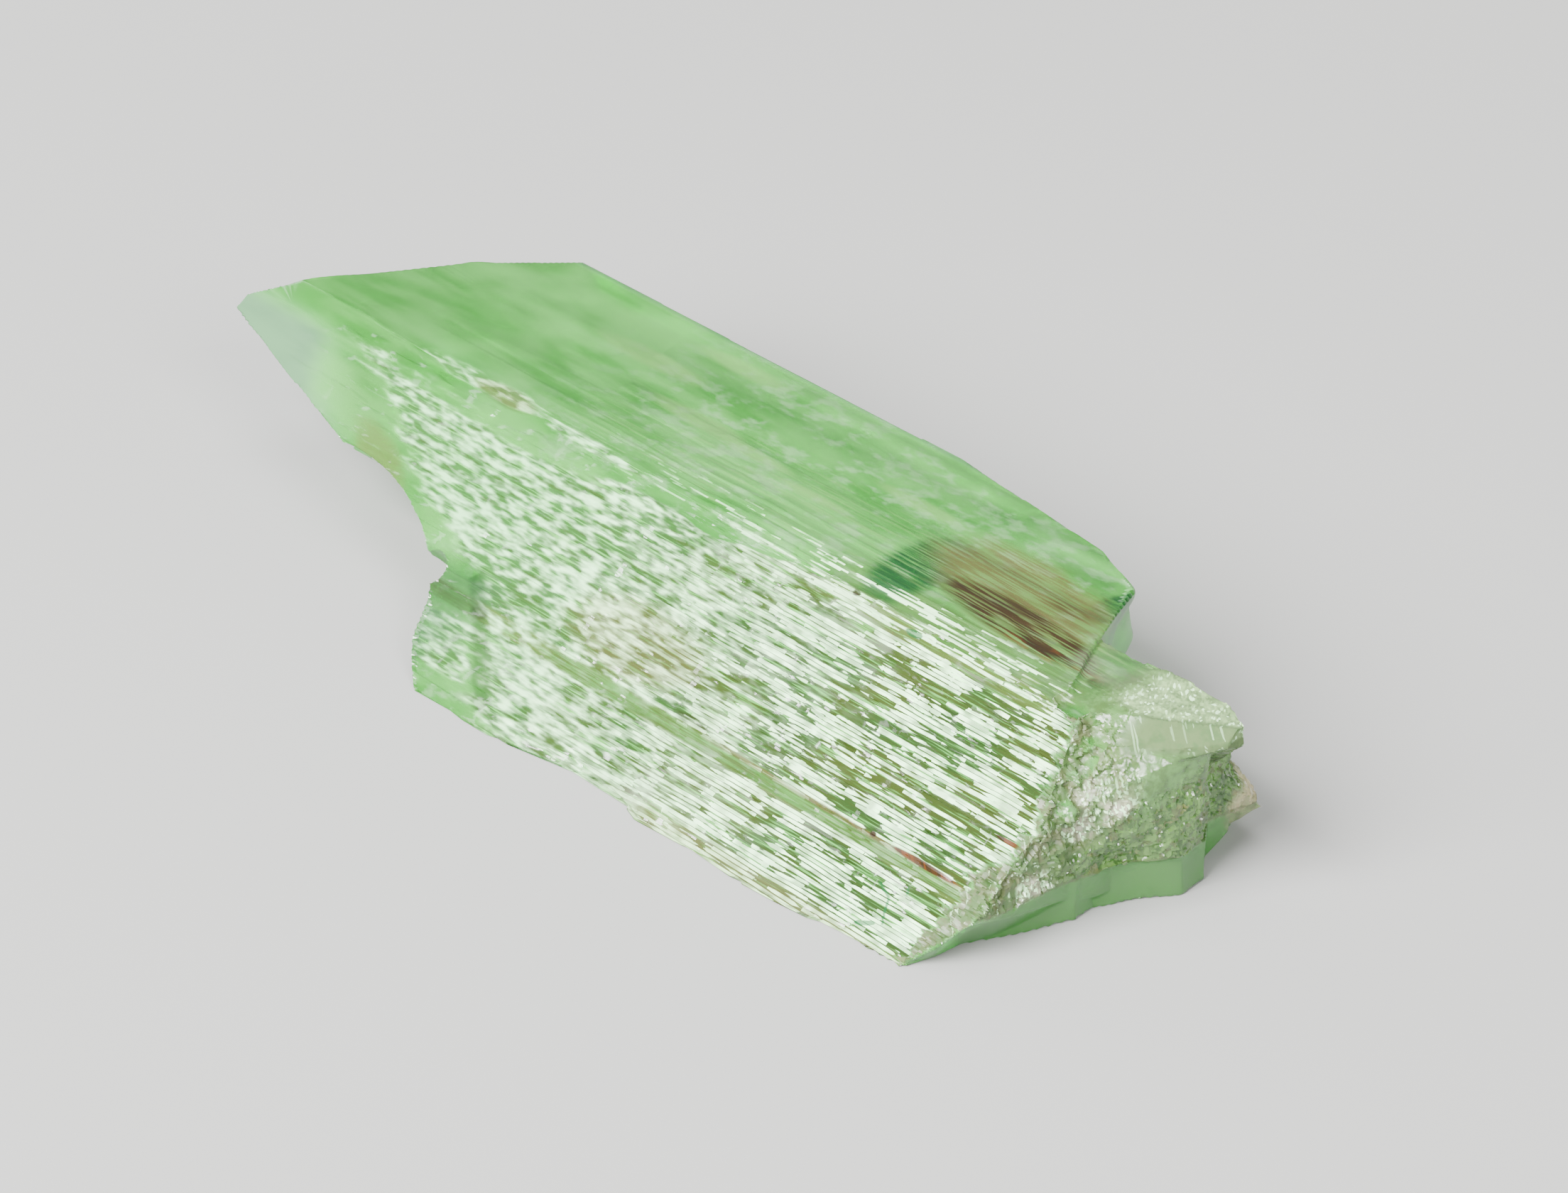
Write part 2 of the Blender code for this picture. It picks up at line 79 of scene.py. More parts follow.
def scatter(*keys: np.ndarray) -> np.ndarray:
    """Draws a repeatable number from 0 to 1 for each set of whole-number keys.

    Args:
        keys: Arrays of whole numbers, or single ones; the first gives the shape.

    Returns:
        One number for each place in the first key.
    """
    mixed = np.zeros(np.shape(keys[0]), np.uint64)
    for key in keys:
        whole = np.broadcast_to(key, mixed.shape).astype(np.int64).astype(np.uint64)
        mixed = (mixed ^ whole) * np.uint64(0x9E3779B97F4A7C15)
        mixed ^= mixed >> np.uint64(29)
    mixed *= np.uint64(0xBF58476D1CE4E5B9)
    mixed ^= mixed >> np.uint64(32)
    return (mixed >> np.uint64(40)).astype(np.float64) / float(1 << 24)


def lattice_noise(places: Sequence[np.ndarray], cell: Sequence[float], seed: int) -> np.ndarray:
    """Smooth noise on a grid, in as many dimensions as it is given places.

    Args:
        places: One array of coordinates for each dimension.
        cell: The grid's step in each dimension.
        seed: Which noise this is.

    Returns:
        One number from -1 to 1 for each point.
    """
    grid = [place / step for place, step in zip(places, cell)]
    base = [np.floor(part) for part in grid]
    share = [part - low for part, low in zip(grid, base)]
    share = [part * part * (3.0 - 2.0 * part) for part in share]
    total = np.zeros(len(grid[0]))
    for corner in np.ndindex(*(2,) * len(grid)):
        weight = np.ones(len(grid[0]))
        for part, side in zip(share, corner):
            weight = weight * (part if side else 1.0 - part)
        total += weight * scatter(*[low + side for low, side in zip(base, corner)], seed)
    return total * 2.0 - 1.0


def bricks(along: np.ndarray, across: np.ndarray, length: float, width: float, seed: int) -> np.ndarray:
    """Draws a number for each brick of a wall laid along the c axis, in rows of unlike bricks.

    Args:
        along: Place along the rows.
        across: Place across the rows.
        length: About how long a brick is.
        width: How wide a row is.
        seed: Which wall this is.

    Returns:
        One number from 0 to 1 for each point, the same all over a brick.
    """
    row = np.floor(across / width)
    own_length = length * (0.6 + 0.9 * scatter(row, seed))
    column = np.floor(along / own_length + scatter(row, seed + 1))
    return scatter(row, column, seed + 2)


def chips_of(points: np.ndarray, cell: float, seed: int) -> np.ndarray:
    """Breaks space into angular grains and gives each a flat face of its own tilt.

    Args:
        points: N by 3 places.
        cell: About how big a grain is.
        seed: Which rubble this is.

    Returns:
        The height of the grain's tilted face at each point, from about -1 to 1.
    """
    grid = points / cell
    base = np.floor(grid)
    nearest = np.full(len(points), np.inf)
    height = np.zeros(len(points))
    for step in np.ndindex(3, 3, 3):
        home = base + np.array(step) - 1.0
        keys = [home[:, axis] for axis in range(3)]
        away = np.stack([home[:, axis] + scatter(*keys, seed + axis) for axis in range(3)], 1) - grid
        distance = (away**2).sum(1)
        closer = distance < nearest
        tilt = np.stack([scatter(*keys, seed + 3 + axis) - 0.5 for axis in range(3)], 1)
        own = scatter(*keys, seed + 6)
        nearest = np.where(closer, distance, nearest)
        height = np.where(closer, (away * tilt).sum(1) * 1.6 + own - 0.5, height)
    return height


# ---- the prism ----------------------------------------------------------------------------------------


@dataclass(frozen=True)
class Prism:
    """The crystal's cross-section, seen along the c axis."""

    height: float = 5.3
    front_y: float = -0.5
    crest_y: float = 5.8
    ridge_y: float = 12.95
    back_y: float = 13.6
    heel_y: float = 11.4
    corner: float = math.radians(43.5)

    @property
    def tilt(self) -> float:
        """How steep the broad face is."""
        return math.atan2(self.height, self.crest_y - self.front_y)

    @property
    def crest_s(self) -> float:
        """How far up the broad face its crest is."""
        return math.hypot(self.height, self.crest_y - self.front_y)

    def broad_normal(self) -> Vector:
        """The outward normal of the broad face."""
        return Vector((0.0, -math.sin(self.tilt), math.cos(self.tilt)))

    def on_broad(self, x: float, s: float) -> Vector:
        """The point x along the crystal and s up the broad face from the base."""
        return Vector((x, self.front_y + s * math.cos(self.tilt), s * math.sin(self.tilt)))

    def faces(self) -> list[Face]:
        """The faces parallel to the c axis: broad face, bevel, back and heel.

        Returns:
            A point on each face and its outward normal.
        """
        bevel = Vector((0.0, math.sin(self.corner), math.cos(self.corner)))
        heel = Vector((0.0, math.cos(self.corner), -math.sin(self.corner)))
        back = Vector((0.0, 1.0, -0.05)).normalized()
        return [
            (self.on_broad(0.0, 0.0), self.broad_normal()),
            (Vector((0.0, self.ridge_y, self.height)), bevel),
            (Vector((0.0, self.back_y, self.height / 2)), back),
            (Vector((0.0, self.heel_y, 0.0)), heel),
        ]

    def edge_face(self, start: Vector, end: Vector, corner: float) -> Face:
        """A face through two points of the broad face.

        Args:
            start: The first point.
            end: The second point; the face looks to the right of the way there.
            corner: The inner angle at which it meets the broad face.

        Returns:
            A point on the face and its outward normal.
        """
        outwards = (end - start).normalized().cross(self.broad_normal()).normalized()
        return start, outwards * math.sin(corner) - self.broad_normal() * math.cos(corner)

    def plan_faces(self, outline: Sequence[Mark], rises: Sequence[float]) -> list[Face]:
        """Steep faces along an outline at the height of the top face.

        Args:
            outline: The (x, y) corners, with the solid on the right of the way along them.
            rises: How much each face looks upwards.

        Returns:
            A point on each face and its outward normal.
        """
        faces = []
        for start, end, rise in zip(outline, outline[1:], rises):
            normal = Vector((start[1] - end[1], end[0] - start[0], 0.0)).normalized()
            normal.z = rise
            faces.append((Vector((*start, self.height)), normal.normalized()))
        return faces


PRISM = Prism()


# ---- the blocks ---------------------------------------------------------------------------------------


@dataclass
class Workshop:
    """Makes closed blocks and takes them off each other. Its helpers are all gone when it closes."""

    clear: float = 16.0
    weld: float = 0.0015
    made: list[bpy.types.Object] = field(default_factory=list)

    def keep(self, name: str, shape: bmesh.types.BMesh) -> bpy.types.Object:
        """Turns a bmesh into an object of the workshop and frees it."""
        bmesh.ops.recalc_face_normals(shape, faces=shape.faces)
        mesh = bpy.data.meshes.new(name)
        shape.to_mesh(mesh)
        shape.free()
        block = bpy.data.objects.new(name, mesh)
        bpy.context.scene.collection.objects.link(block)
        self.made.append(block)
        return block

    def hewn(self, name: str, low: Spot, high: Spot, faces: Sequence[Face]) -> bpy.types.Object:
        """Cuts a box with planes.

        Args:
            name: The block's name.
            low: The box's lowest corner.
            high: Its highest corner.
            faces: A point on each plane and its outward normal.

        Returns:
            The block that is left.
        """
        shape = bmesh.new()
        bmesh.ops.create_cube(shape, size=1.0)
        bmesh.ops.scale(shape, vec=Vector(high) - Vector(low), verts=shape.verts)
        bmesh.ops.translate(shape, vec=(Vector(high) + Vector(low)) / 2, verts=shape.verts)
        for point, normal in faces:
            everything = shape.verts[:] + shape.edges[:] + shape.faces[:]
            cut = bmesh.ops.bisect_plane(
                shape, geom=everything, plane_co=point, plane_no=normal, clear_outer=True
            )
            rim = [item for item in cut["geom_cut"] if isinstance(item, bmesh.types.BMEdge)]
            if rim:
                bmesh.ops.edgeloop_fill(shape, edges=rim)
        return self.keep(name, shape)

    def slab(self, name: str, outline: Sequence[Mark], low_z: float, high_z: float) -> bpy.types.Object:
        """Makes an upright slab.

        Args:
            name: The slab's name.
            outline: Its plan, as (x, y) points.
            low_z: Its underside.
            high_z: Its top.

        Returns:
            The slab, closed.
        """
        curve = bpy.data.curves.new(name + "_outline", "CURVE")
        curve.dimensions = "2D"
        curve.fill_mode = "BOTH"
        curve.extrude = (high_z - low_z) / 2
        spline = curve.splines.new("POLY")
        spline.points.add(len(outline) - 1)
        for point, (x, y) in zip(spline.points, outline):
            point.co = (x, y, 0.0, 1.0)
        spline.use_cyclic_u = True
        guide = bpy.data.objects.new(name + "_outline", curve)
        guide.location.z = (high_z + low_z) / 2
        bpy.context.scene.collection.objects.link(guide)
        bpy.context.view_layer.update()
        graph = bpy.context.evaluated_depsgraph_get()
        mesh = bpy.data.meshes.new_from_object(guide.evaluated_get(graph))
        mesh.transform(guide.matrix_world)
        bpy.data.objects.remove(guide)
        shape = bmesh.new()
        shape.from_mesh(mesh)
        bmesh.ops.remove_doubles(shape, verts=shape.verts, dist=self.weld)
        return self.keep(name, shape)

    def barrel(
        self, name: str, middle: Vector, run: Vector, radius: float, sides: int
    ) -> bpy.types.Object:
        """Makes a round block about an axis.

        Args:
            name: The block's name.
            middle: Its middle.
            run: The way from its first end to its second.
            radius: Its radius.
            sides: How many sides it has.

        Returns:
            The block, closed.
        """
        shape = bmesh.new()
        bmesh.ops.create_cone(
            shape, cap_ends=True, segments=sides, radius1=radius, radius2=radius, depth=run.length
        )
        turn = Vector((0.0, 0.0, 1.0)).rotation_difference(run).to_matrix().to_4x4()
        bmesh.ops.transform(shape, matrix=Matrix.Translation(middle) @ turn, verts=shape.verts)
        return self.keep(name, shape)

    def take_away(self, body: bpy.types.Object, other: bpy.types.Object) -> None:
        """Takes a block away from the body, and applies that."""
        modifier = body.modifiers.new(other.name, "BOOLEAN")
        modifier.operation = "DIFFERENCE"
        modifier.solver = "EXACT"
        modifier.object = other
        self.settle(body)

    def settle(self, body: bpy.types.Object) -> None:
        """Applies the body's modifiers to its mesh."""
        bpy.context.view_layer.update()
        graph = bpy.context.evaluated_depsgraph_get()
        mesh = bpy.data.meshes.new_from_object(body.evaluated_get(graph))
        body.modifiers.clear()
        body.data = mesh

    def close(self, kept: bpy.types.Object) -> None:
        """Removes every helper but the one kept."""
        for block in self.made:
            if block != kept:
                bpy.data.objects.remove(block)
        self.made.clear()


@dataclass(frozen=True)
class Trunk:
    """The full-width length of the crystal, from its termination to the ledge."""

    start_x: float = -38.0
    end_x: float = -1.3
    sides: Mark = (-3.0, 15.0)
    termination: tuple[Mark, ...] = ((-34.75, 4.9), (-32.2, 10.35), (-30.0, 13.0))
    beak_rise: float = 1.5
    beak_height: float = 0.75
    undercut_rise: float = -0.45
    ridge_end: tuple[Mark, ...] = ((-12.9, 12.95), (-6.4, 12.2), (-4.2, 11.2), (-3.0, 9.2))
    ridge_end_rises: tuple[float, ...] = (0.75, 0.3, -0.25)

    def build(self, shop: Workshop) -> bpy.types.Object:
        """Hews the trunk with its prism faces, its beak and the undercut below it."""
        beak = PRISM.plan_faces(self.termination, (self.beak_rise, self.beak_rise))
        undercut = []
        for point, normal in PRISM.plan_faces(self.termination, (self.undercut_rise,) * 2):
            level = Vector((normal.x, normal.y, 0.0)).normalized()
            down = Vector((0.0, 0.0, self.beak_height))
            undercut.append((point + level * self.beak_rise * self.beak_height - down, normal))
        drawn_in = PRISM.plan_faces(self.ridge_end, self.ridge_end_rises)
        return shop.hewn(
            "crystal",
            (self.start_x, self.sides[0], 0.0),
            (self.end_x, self.sides[1], PRISM.height),
            PRISM.faces() + beak + undercut + drawn_in,
        )


@dataclass(frozen=True)
class FarCorner:
    """What is broken away at the far front corner: under the tip, past the lobe, a notch and a scoop.

    Marks are (x, s) on the broad face, with s measured up the face from the base.
    """

    tip_edge: tuple[Mark, Mark] = ((-35.8, 6.5), (-29.0, 4.66))
    tip_corner: float = math.radians(80)
    lobe_edge: tuple[Mark, ...] = ((-22.7, 3.25), (-22.25, 1.9), (-20.4, 0.4), (-19.2, -0.6))
    lobe_corner: float = math.radians(78)
    notch: Mark = (-22.72, 2.8)
    notch_radius: float = 0.52
    scoop: Mark = (-28.05, -3.68)
    scoop_radius: float = 8.22
    reach_x: float = -12.0
    barrel_length: float = 12.0
    barrel_sides: int = 96

    def cut(self, shop: Workshop, body: bpy.types.Object) -> None:
        """Cuts the corner's chips from the body."""
        tip_start, tip_end = (PRISM.on_broad(*mark) for mark in self.tip_edge)
        tip_point, tip_normal = PRISM.edge_face(tip_start, tip_end, self.tip_corner)
        low = (Trunk.start_x - shop.clear, -shop.clear, -shop.clear)
        high = (self.reach_x, shop.clear, shop.clear)
        for index, (start, end) in enumerate(zip(self.lobe_edge, self.lobe_edge[1:])):
            point, normal = PRISM.edge_face(
                PRISM.on_broad(*start), PRISM.on_broad(*end), self.lobe_corner
            )
            chip = shop.hewn(f"chip_{index}", low, high, [(tip_point, -tip_normal), (point, -normal)])
            shop.take_away(body, chip)
        down = (tip_end - tip_start).normalized().cross(tip_normal) * self.barrel_length
        for name, mark, radius in (
            ("notch", self.notch, self.notch_radius),
            ("scoop", self.scoop, self.scoop_radius),
        ):
            middle = PRISM.on_broad(*mark)
            barrel = shop.barrel(name, middle, down, radius, self.barrel_sides)
            shop.take_away(body, barrel)


@dataclass(frozen=True)
class BrokenEnd:
    """The near end: a narrower block behind the fracture, with a knob, a skirt, a spike and crumbs.

    The spike and the breast are the corners of hulls, and a crumb is its middle and its size.
    """

    start_x: float = -12.0
    end_x: float = 0.95
    ledge_drop: float = 0.12
    ledge_back_y: float = 8.8
    back_corner: tuple[Mark, Mark] = ((-3.0, 12.3), (0.9, 10.05))
    chamfer: Face = (Vector((-0.05, 5.3, 4.9)), Vector((0.86, -0.02, 0.51)))
    knob_foot_z: float = 3.1
    knob_plan: tuple[Mark, ...] = (
        (-3.0, 5.4), (0.1, 5.6), (1.2, 6.3), (2.5, 7.5), (2.95, 8.0), (2.9, 8.6), (1.8, 9.05),
        (-3.0, 8.9),
    )  # fmt: skip
    knob_under: Face = (Vector((3.0, 8.1, 4.75)), Vector((-0.60, 0.22, 0.77)))
    knob_brow: Face = (Vector((0.1, 6.35, 5.18)), Vector((-0.40, 0.585, -0.707)))
    skirt_top: float = 1.22
    skirt_plan: tuple[Mark, ...] = (
        (-3.0, -0.5), (-0.1, -0.4), (-0.05, 1.2), (0.3, 2.5), (1.0, 4.6), (0.75, 5.4), (1.75, 7.6),
        (1.65, 8.6), (0.6, 9.6), (0.0, 11.1), (-3.0, 11.2),
    )  # fmt: skip
    undercut: Face = (Vector((0.5, 10.0, 0.0)), Vector((0.76, 0.39, -0.50)))
    spike: tuple[Spot, ...] = (
        (-1.8, 8.6, 3.3), (-1.8, 11.6, 2.0), (-1.8, 11.9, 0.5), (-1.8, 8.6, 0.5), (0.9, 9.3, 3.05),
        (1.1, 9.65, 2.6), (1.1, 10.3, 1.9), (0.85, 11.05, 1.35), (1.0, 11.3, 0.9), (0.8, 10.2, 0.75),
        (0.9, 8.9, 1.2),
    )  # fmt: skip
    breast: tuple[Spot, ...] = (
        (0.65, 3.6, 1.2), (0.95, 4.7, 1.2), (1.7, 7.5, 1.2), (1.6, 8.5, 1.2), (2.1, 7.3, 4.4),
        (2.4, 8.0, 4.6), (0.75, 5.75, 4.7), (0.9, 4.4, 3.2), (-1.0, 3.6, 1.2), (-1.0, 8.8, 1.2),
        (-1.0, 8.7, 4.6), (-1.0, 5.7, 4.6),
    )  # fmt: skip
    crumbs: tuple[Oval, ...] = (
        (0.8, 3.4, 2.9, 0.8), (0.85, 4.3, 3.3, 0.9), (0.55, 4.9, 3.9, 0.7), (0.7, 1.8, 1.6, 0.8),
        (0.7, 2.6, 2.2, 0.8), (0.9, 5.4, 3.2, 0.8), (0.35, 5.6, 4.5, 0.6), (0.5, 0.9, 1.0, 0.6),
    )  # fmt: skip

    def block(self, shop: Workshop) -> bpy.types.Object:
        """The narrower block that carries on from the trunk, its upper back broken to a slope."""
        top = PRISM.height - self.ledge_drop
        slope = (Vector((0.0, self.ledge_back_y, top)), Vector((0.0, 0.70, 0.714)))
        front_corner = (PRISM.on_broad(0.05, 0.0), Vector((0.82, -0.50, -0.12)).normalized())
        recess_point = Vector((self.end_x, 1.0, self.skirt_top))
        recess = (recess_point, Vector((0.78, -0.1, -0.62)).normalized())
        corner = PRISM.plan_faces(self.back_corner, (0.0,))
        return shop.hewn(
            "near_block",
            (self.start_x, -3.0, 0.0),
            (self.end_x, 15.0, top),
            PRISM.faces() + [slope, front_corner, recess, self.undercut, self.chamfer] + corner,
        )

    def knob(self, shop: Workshop) -> bpy.types.Object:
        """The frosted knob that stands out past the fracture, level with the ledge."""
        top = PRISM.height - self.ledge_drop
        knob = shop.slab("knob", self.knob_plan, self.knob_foot_z, top)
        for name, face in (("under", self.knob_under), ("brow", self.knob_brow)):
            waste = shop.hewn("knob_" + name, (-shop.clear,) * 3, (shop.clear,) * 3, [face])
            shop.take_away(knob, waste)
        return knob

    def skirt(self, shop: Workshop) -> bpy.types.Object:
        """The smooth shell-shaped step along the foot of the fracture."""
        skirt = shop.slab("skirt", self.skirt_plan, 0.0, self.skirt_top)
        broad = (PRISM.on_broad(0.0, 0.0), -PRISM.broad_normal())
        over = shop.hewn("skirt_over", (-shop.clear,) * 3, (shop.clear,) * 3, [broad])
        shop.take_away(skirt, over)
        return skirt

    def splinters(self, shop: Workshop) -> list[bpy.types.Object]:
        """The pointed spike at the low back corner, and crumbs along the end of the broad face."""
        pieces = []
        for name, corners in (("spike", self.spike), ("breast", self.breast)):
            shape = bmesh.new()
            for corner in corners:
                shape.verts.new(corner)
            hull = bmesh.ops.convex_hull(shape, input=shape.verts)
            bmesh.ops.delete(shape, geom=hull["geom_interior"], context="VERTS")
            pieces.append(shop.keep(name, shape))
        for index, (x, y, z, size) in enumerate(self.crumbs):
            shape = bmesh.new()
            bmesh.ops.create_icosphere(shape, subdivisions=1, radius=size / 2)
            turn = Euler((1.3 * index, 2.1 * index, 0.7 * index)).to_matrix().to_4x4()
            place = Matrix.Translation((x, y, z)) @ Matrix.Diagonal((1.0, 0.9, 0.8, 1.0)) @ turn
            bmesh.ops.transform(shape, matrix=place, verts=shape.verts)
            pieces.append(shop.keep(f"crumb_{index}", shape))
        return pieces

    def build(self, shop: Workshop) -> list[bpy.types.Object]:
        """Every block of the broken end, each closed and overlapping the trunk."""
        return [self.block(shop), self.knob(shop), self.skirt(shop)] + self.splinters(shop)


# ---- relief -------------------------------------------------------------------------------------------


@dataclass(frozen=True)
class Etching:
    """The etched, striated broad face: flat plateaus in serrated rows, with channels between them.

    Marks along an edge are (x, s), with s measured up the broad face from the base. An oval is its middle in
    the same way, and how far it reaches along and across.
    """

    row: float = 0.10
    slip: float = 0.6
    plateau: Mark = (1.25, 0.27)
    islet: Mark = (0.55, 0.13)
    plateau_depth: float = 0.045
    channel: Mark = (1.5, 0.5)
    channel_depth: float = 0.035
    cover: float = -0.12
    line: Mark = (2.0, 0.10)
    step: Mark = (3.4, 0.43)
    step_depth: float = 0.035
    groove_s: float = 2.45
    groove_depth: float = 0.15
    foot_line: tuple[Mark, ...] = (
        (-20.5, 0.6), (-16.5, 0.65), (-12.8, -0.05), (-12.1, -0.15), (-11.5, 0.0), (-10.4, 0.38),
        (-8.3, 0.25), (-6.5, 0.35), (-4.8, 0.25), (-2.5, 0.0), (0.0, -0.15),
    )  # fmt: skip
    upper_edge: tuple[Mark, ...] = (
        (-32.0, 7.7), (-26.0, 7.38), (-24.0, 7.26), (-20.5, 7.36), (-17.4, 7.7), (-14.7, 7.56),
        (-11.9, 7.85), (-9.0, 8.3), (-5.0, 8.35), (-2.0, 8.15), (0.0, 7.8),
    )  # fmt: skip
    near_edge: tuple[Mark, ...] = (
        (-0.25, 0.0), (-0.3, 2.0), (-0.1, 3.4), (0.75, 3.9), (0.8, 5.2), (0.15, 6.0), (0.0, 7.0),
        (-0.2, 7.7), (-1.1, 8.3),
    )  # fmt: skip
    far_edge: tuple[Mark, ...] = (
        (-17.0, 0.0), (-19.2, 1.8), (-20.8, 3.2), (-24.5, 4.6), (-26.8, 5.65), (-29.0, 6.6), (-30.9, 7.5),
        (-32.5, 8.2),
    )  # fmt: skip
    lobe_patch: Oval = (-20.4, 1.4, 1.5, 1.1)
    crest_streaks: tuple[Oval, ...] = (
        (-26.0, 8.34, 2.7, 0.34),
        (-6.6, 8.62, 2.4, 0.26),
        (-20.3, 8.15, 1.8, 0.20),
        (-13.5, 8.2, 2.2, 0.18),
    )

    def groove(self, x: np.ndarray, s: np.ndarray) -> np.ndarray:
        """How much of the long groove is at each place: 1 on its middle line, 0 outside it."""
        half_width = 0.15 + 0.006 * np.clip(-x, 0.0, 20.0)
        return smooth_step(-19.5, -15.0, x) * np.exp(-(((s - self.groove_s) / half_width) ** 2))

    def wander(self, x: np.ndarray, s: np.ndarray) -> np.ndarray:
        """How far the foot of the broad face stands out or draws in."""
        marks = np.array(self.foot_line)
        return np.interp(x, marks[:, 0], marks[:, 1]) * smooth_step(2.3, 0.3, s)

    def past_end(self, x: np.ndarray, s: np.ndarray) -> np.ndarray:
        """How far each place is past the ragged line where the striated face is broken off."""
        marks = np.array(self.near_edge)
        ragged = 0.30 * lattice_noise((x, s), (0.7, 0.22), 81)
        ragged = ragged + 0.15 * lattice_noise((x, s), (0.3, 0.09), 82)
        return x - np.interp(s, marks[:, 1], marks[:, 0]) + ragged

    def reach(self, x: np.ndarray, s: np.ndarray) -> np.ndarray:
        """How much each place belongs to the etched field.

        Args:
            x: Place along the crystal.
            s: Place up the broad face, which carries on over the crest onto the top face.

        Returns:
            From 0 to 1: the field fades out below the crest at the far end, and across the tip.
        """
        upper, outer = np.array(self.upper_edge), np.array(self.far_edge)
        wavy = lattice_noise((x, s), (2.6, 0.30), 83) + 0.6 * lattice_noise((x, s), (0.9, 0.12), 84)
        top = np.interp(x, upper[:, 0], upper[:, 1]) + (0.22 + 0.2 * (x > -12.0)) * wavy - s
        far = x - np.interp(s, outer[:, 1], outer[:, 0]) + 0.7 * wavy
        within = smooth_step(-0.02, 0.03 + 0.25 * smooth_step(-10.0, -24.0, x), top)
        within = within * smooth_step(-0.4, 0.6, far) * smooth_step(0.03, -0.03, self.past_end(x, s))
        for mark_x, mark_s, long, wide in (*self.crest_streaks, self.lobe_patch):
            near = ((x - mark_x) / long) ** 2 + ((s - mark_s) / wide) ** 2 + 0.8 * wavy
            within = np.maximum(within, smooth_step(1.2, 0.4, near))
        return within

    def press(self, x: np.ndarray, s: np.ndarray) -> tuple[np.ndarray, np.ndarray]:
        """Works out the etching.

        Args:
            x: Place along the crystal.
            s: Place up the broad face.

        Returns:
            How deep the face lies below its highest plateaus, in millimetres, and how much of a plateau
            each place is, from 0 to 1.
        """
        row = np.floor(s / self.row)
        middle = (row + 0.5) * self.row
        slip = self.slip * (scatter(row, 101) - 0.5)
        steps = bricks(x, s + 0.1 * np.sin(x / 7.0), *self.step, 3)
        patches = lattice_noise((x, s), (6.0, 1.9), 57)
        lean = 0.35 * patches + 0.35 * (0.5 - steps)
        crisp = lattice_noise((x + slip, middle), self.plateau, 51)
        crisp = crisp + 0.6 * lattice_noise((x - slip, middle), self.islet, 52) + lean
        soft = lattice_noise((x, s), self.plateau, 53)
        soft = soft + 0.5 * lattice_noise((x, s), self.islet, 54) + lean
        dull = smooth_step(-13.0, -26.0, x)
        foot = 0.55 * smooth_step(1.4, 0.4, s) * smooth_step(-13.0, -7.0, x)
        on = (1.0 - dull) * (crisp + foot > self.cover) + dull * smooth_step(-0.45, 0.15, soft + foot)
        lines = bricks(x, s, *self.line, 71) > 0.82
        on = on * (1.0 - 0.75 * lines * (1.0 - dull))
        course = lattice_noise((x + 0.3 * slip, middle), self.channel, 61)
        course = np.abs(course + 0.6 * lattice_noise((x + 0.3 * slip, middle), (0.6, 0.2), 62))
        present = smooth_step(-0.1, 0.25, lattice_noise((x, s), (3.0, 1.3), 63)) * (1.0 - dull)
        channel = smooth_step(0.13, 0.07, course) * present
        groove = self.groove(x, s)
        on = on * (1.0 - channel) * smooth_step(0.45, 0.25, groove)
        depth = self.plateau_depth * (1.0 - on) * (1.0 - groove) + self.channel_depth * channel
        stairs = (steps > 0.42).astype(float) + (steps > 0.78)
        depth = depth + self.step_depth * stairs * (1.0 - 0.7 * dull)
        return depth + self.groove_depth * groove, on


@dataclass(frozen=True)
class Break:
    """The broken end: rubble next to the broad face, a granular break below it, smooth at the foot."""

    rubble_depth: float = 0.10
    grain: float = 0.55
    grain_depth: float = 0.13
    grit: float = 0.24
    grit_depth: float = 0.08
    dust: float = 0.13
    dust_depth: float = 0.035
    swell_depth: float = 0.08
    fine_swell_depth: float = 0.20
    ripple_depth: float = 0.05

    def press(
        self, points: np.ndarray, crumbly: np.ndarray, granular: np.ndarray, glassy: np.ndarray
    ) -> np.ndarray:
        """Works out how far the break stands out.

        Args:
            points: N by 3 places.
            crumbly: How much of the coarse rubble is at each place.
            granular: How much of the fine-grained break is at each place.
            glassy: How much of the smooth, shell-shaped break is at each place.

        Returns:
            The distance along the normal, in millimetres.
        """
        raised = np.zeros(len(points))
        rough = np.maximum(crumbly, granular) > 0.0
        x, y, z = points[rough].T
        rubble = lattice_noise((x, y, z), (0.9, 0.8, 0.7), 11)
        rubble = rubble + 0.5 * lattice_noise((x, y, z), (0.42, 0.4, 0.36), 12)
        grains = chips_of(points[rough], self.grain, 200)
        grit = chips_of(points[rough], self.grit, 300)
        dust = chips_of(points[rough], self.dust, 400)
        coarse = self.rubble_depth * rubble + self.grain_depth * grains + self.grit_depth * grit
        swell = lattice_noise((x, y, z), (1.9, 1.5, 1.3), 13)
        coarse = coarse + self.dust_depth * dust + self.swell_depth * swell
        fine = 0.6 * self.rubble_depth * rubble + self.grit_depth * grit * 0.7
        fine = fine + self.dust_depth * dust + self.fine_swell_depth * swell
        raised[rough] = crumbly[rough] * coarse + granular[rough] * fine
        ripples = np.sin(2.6 * points[:, 1] + 1.3 * points[:, 2] + 0.8 * np.sin(points[:, 1]))
        return raised + self.ripple_depth * glassy * ripples


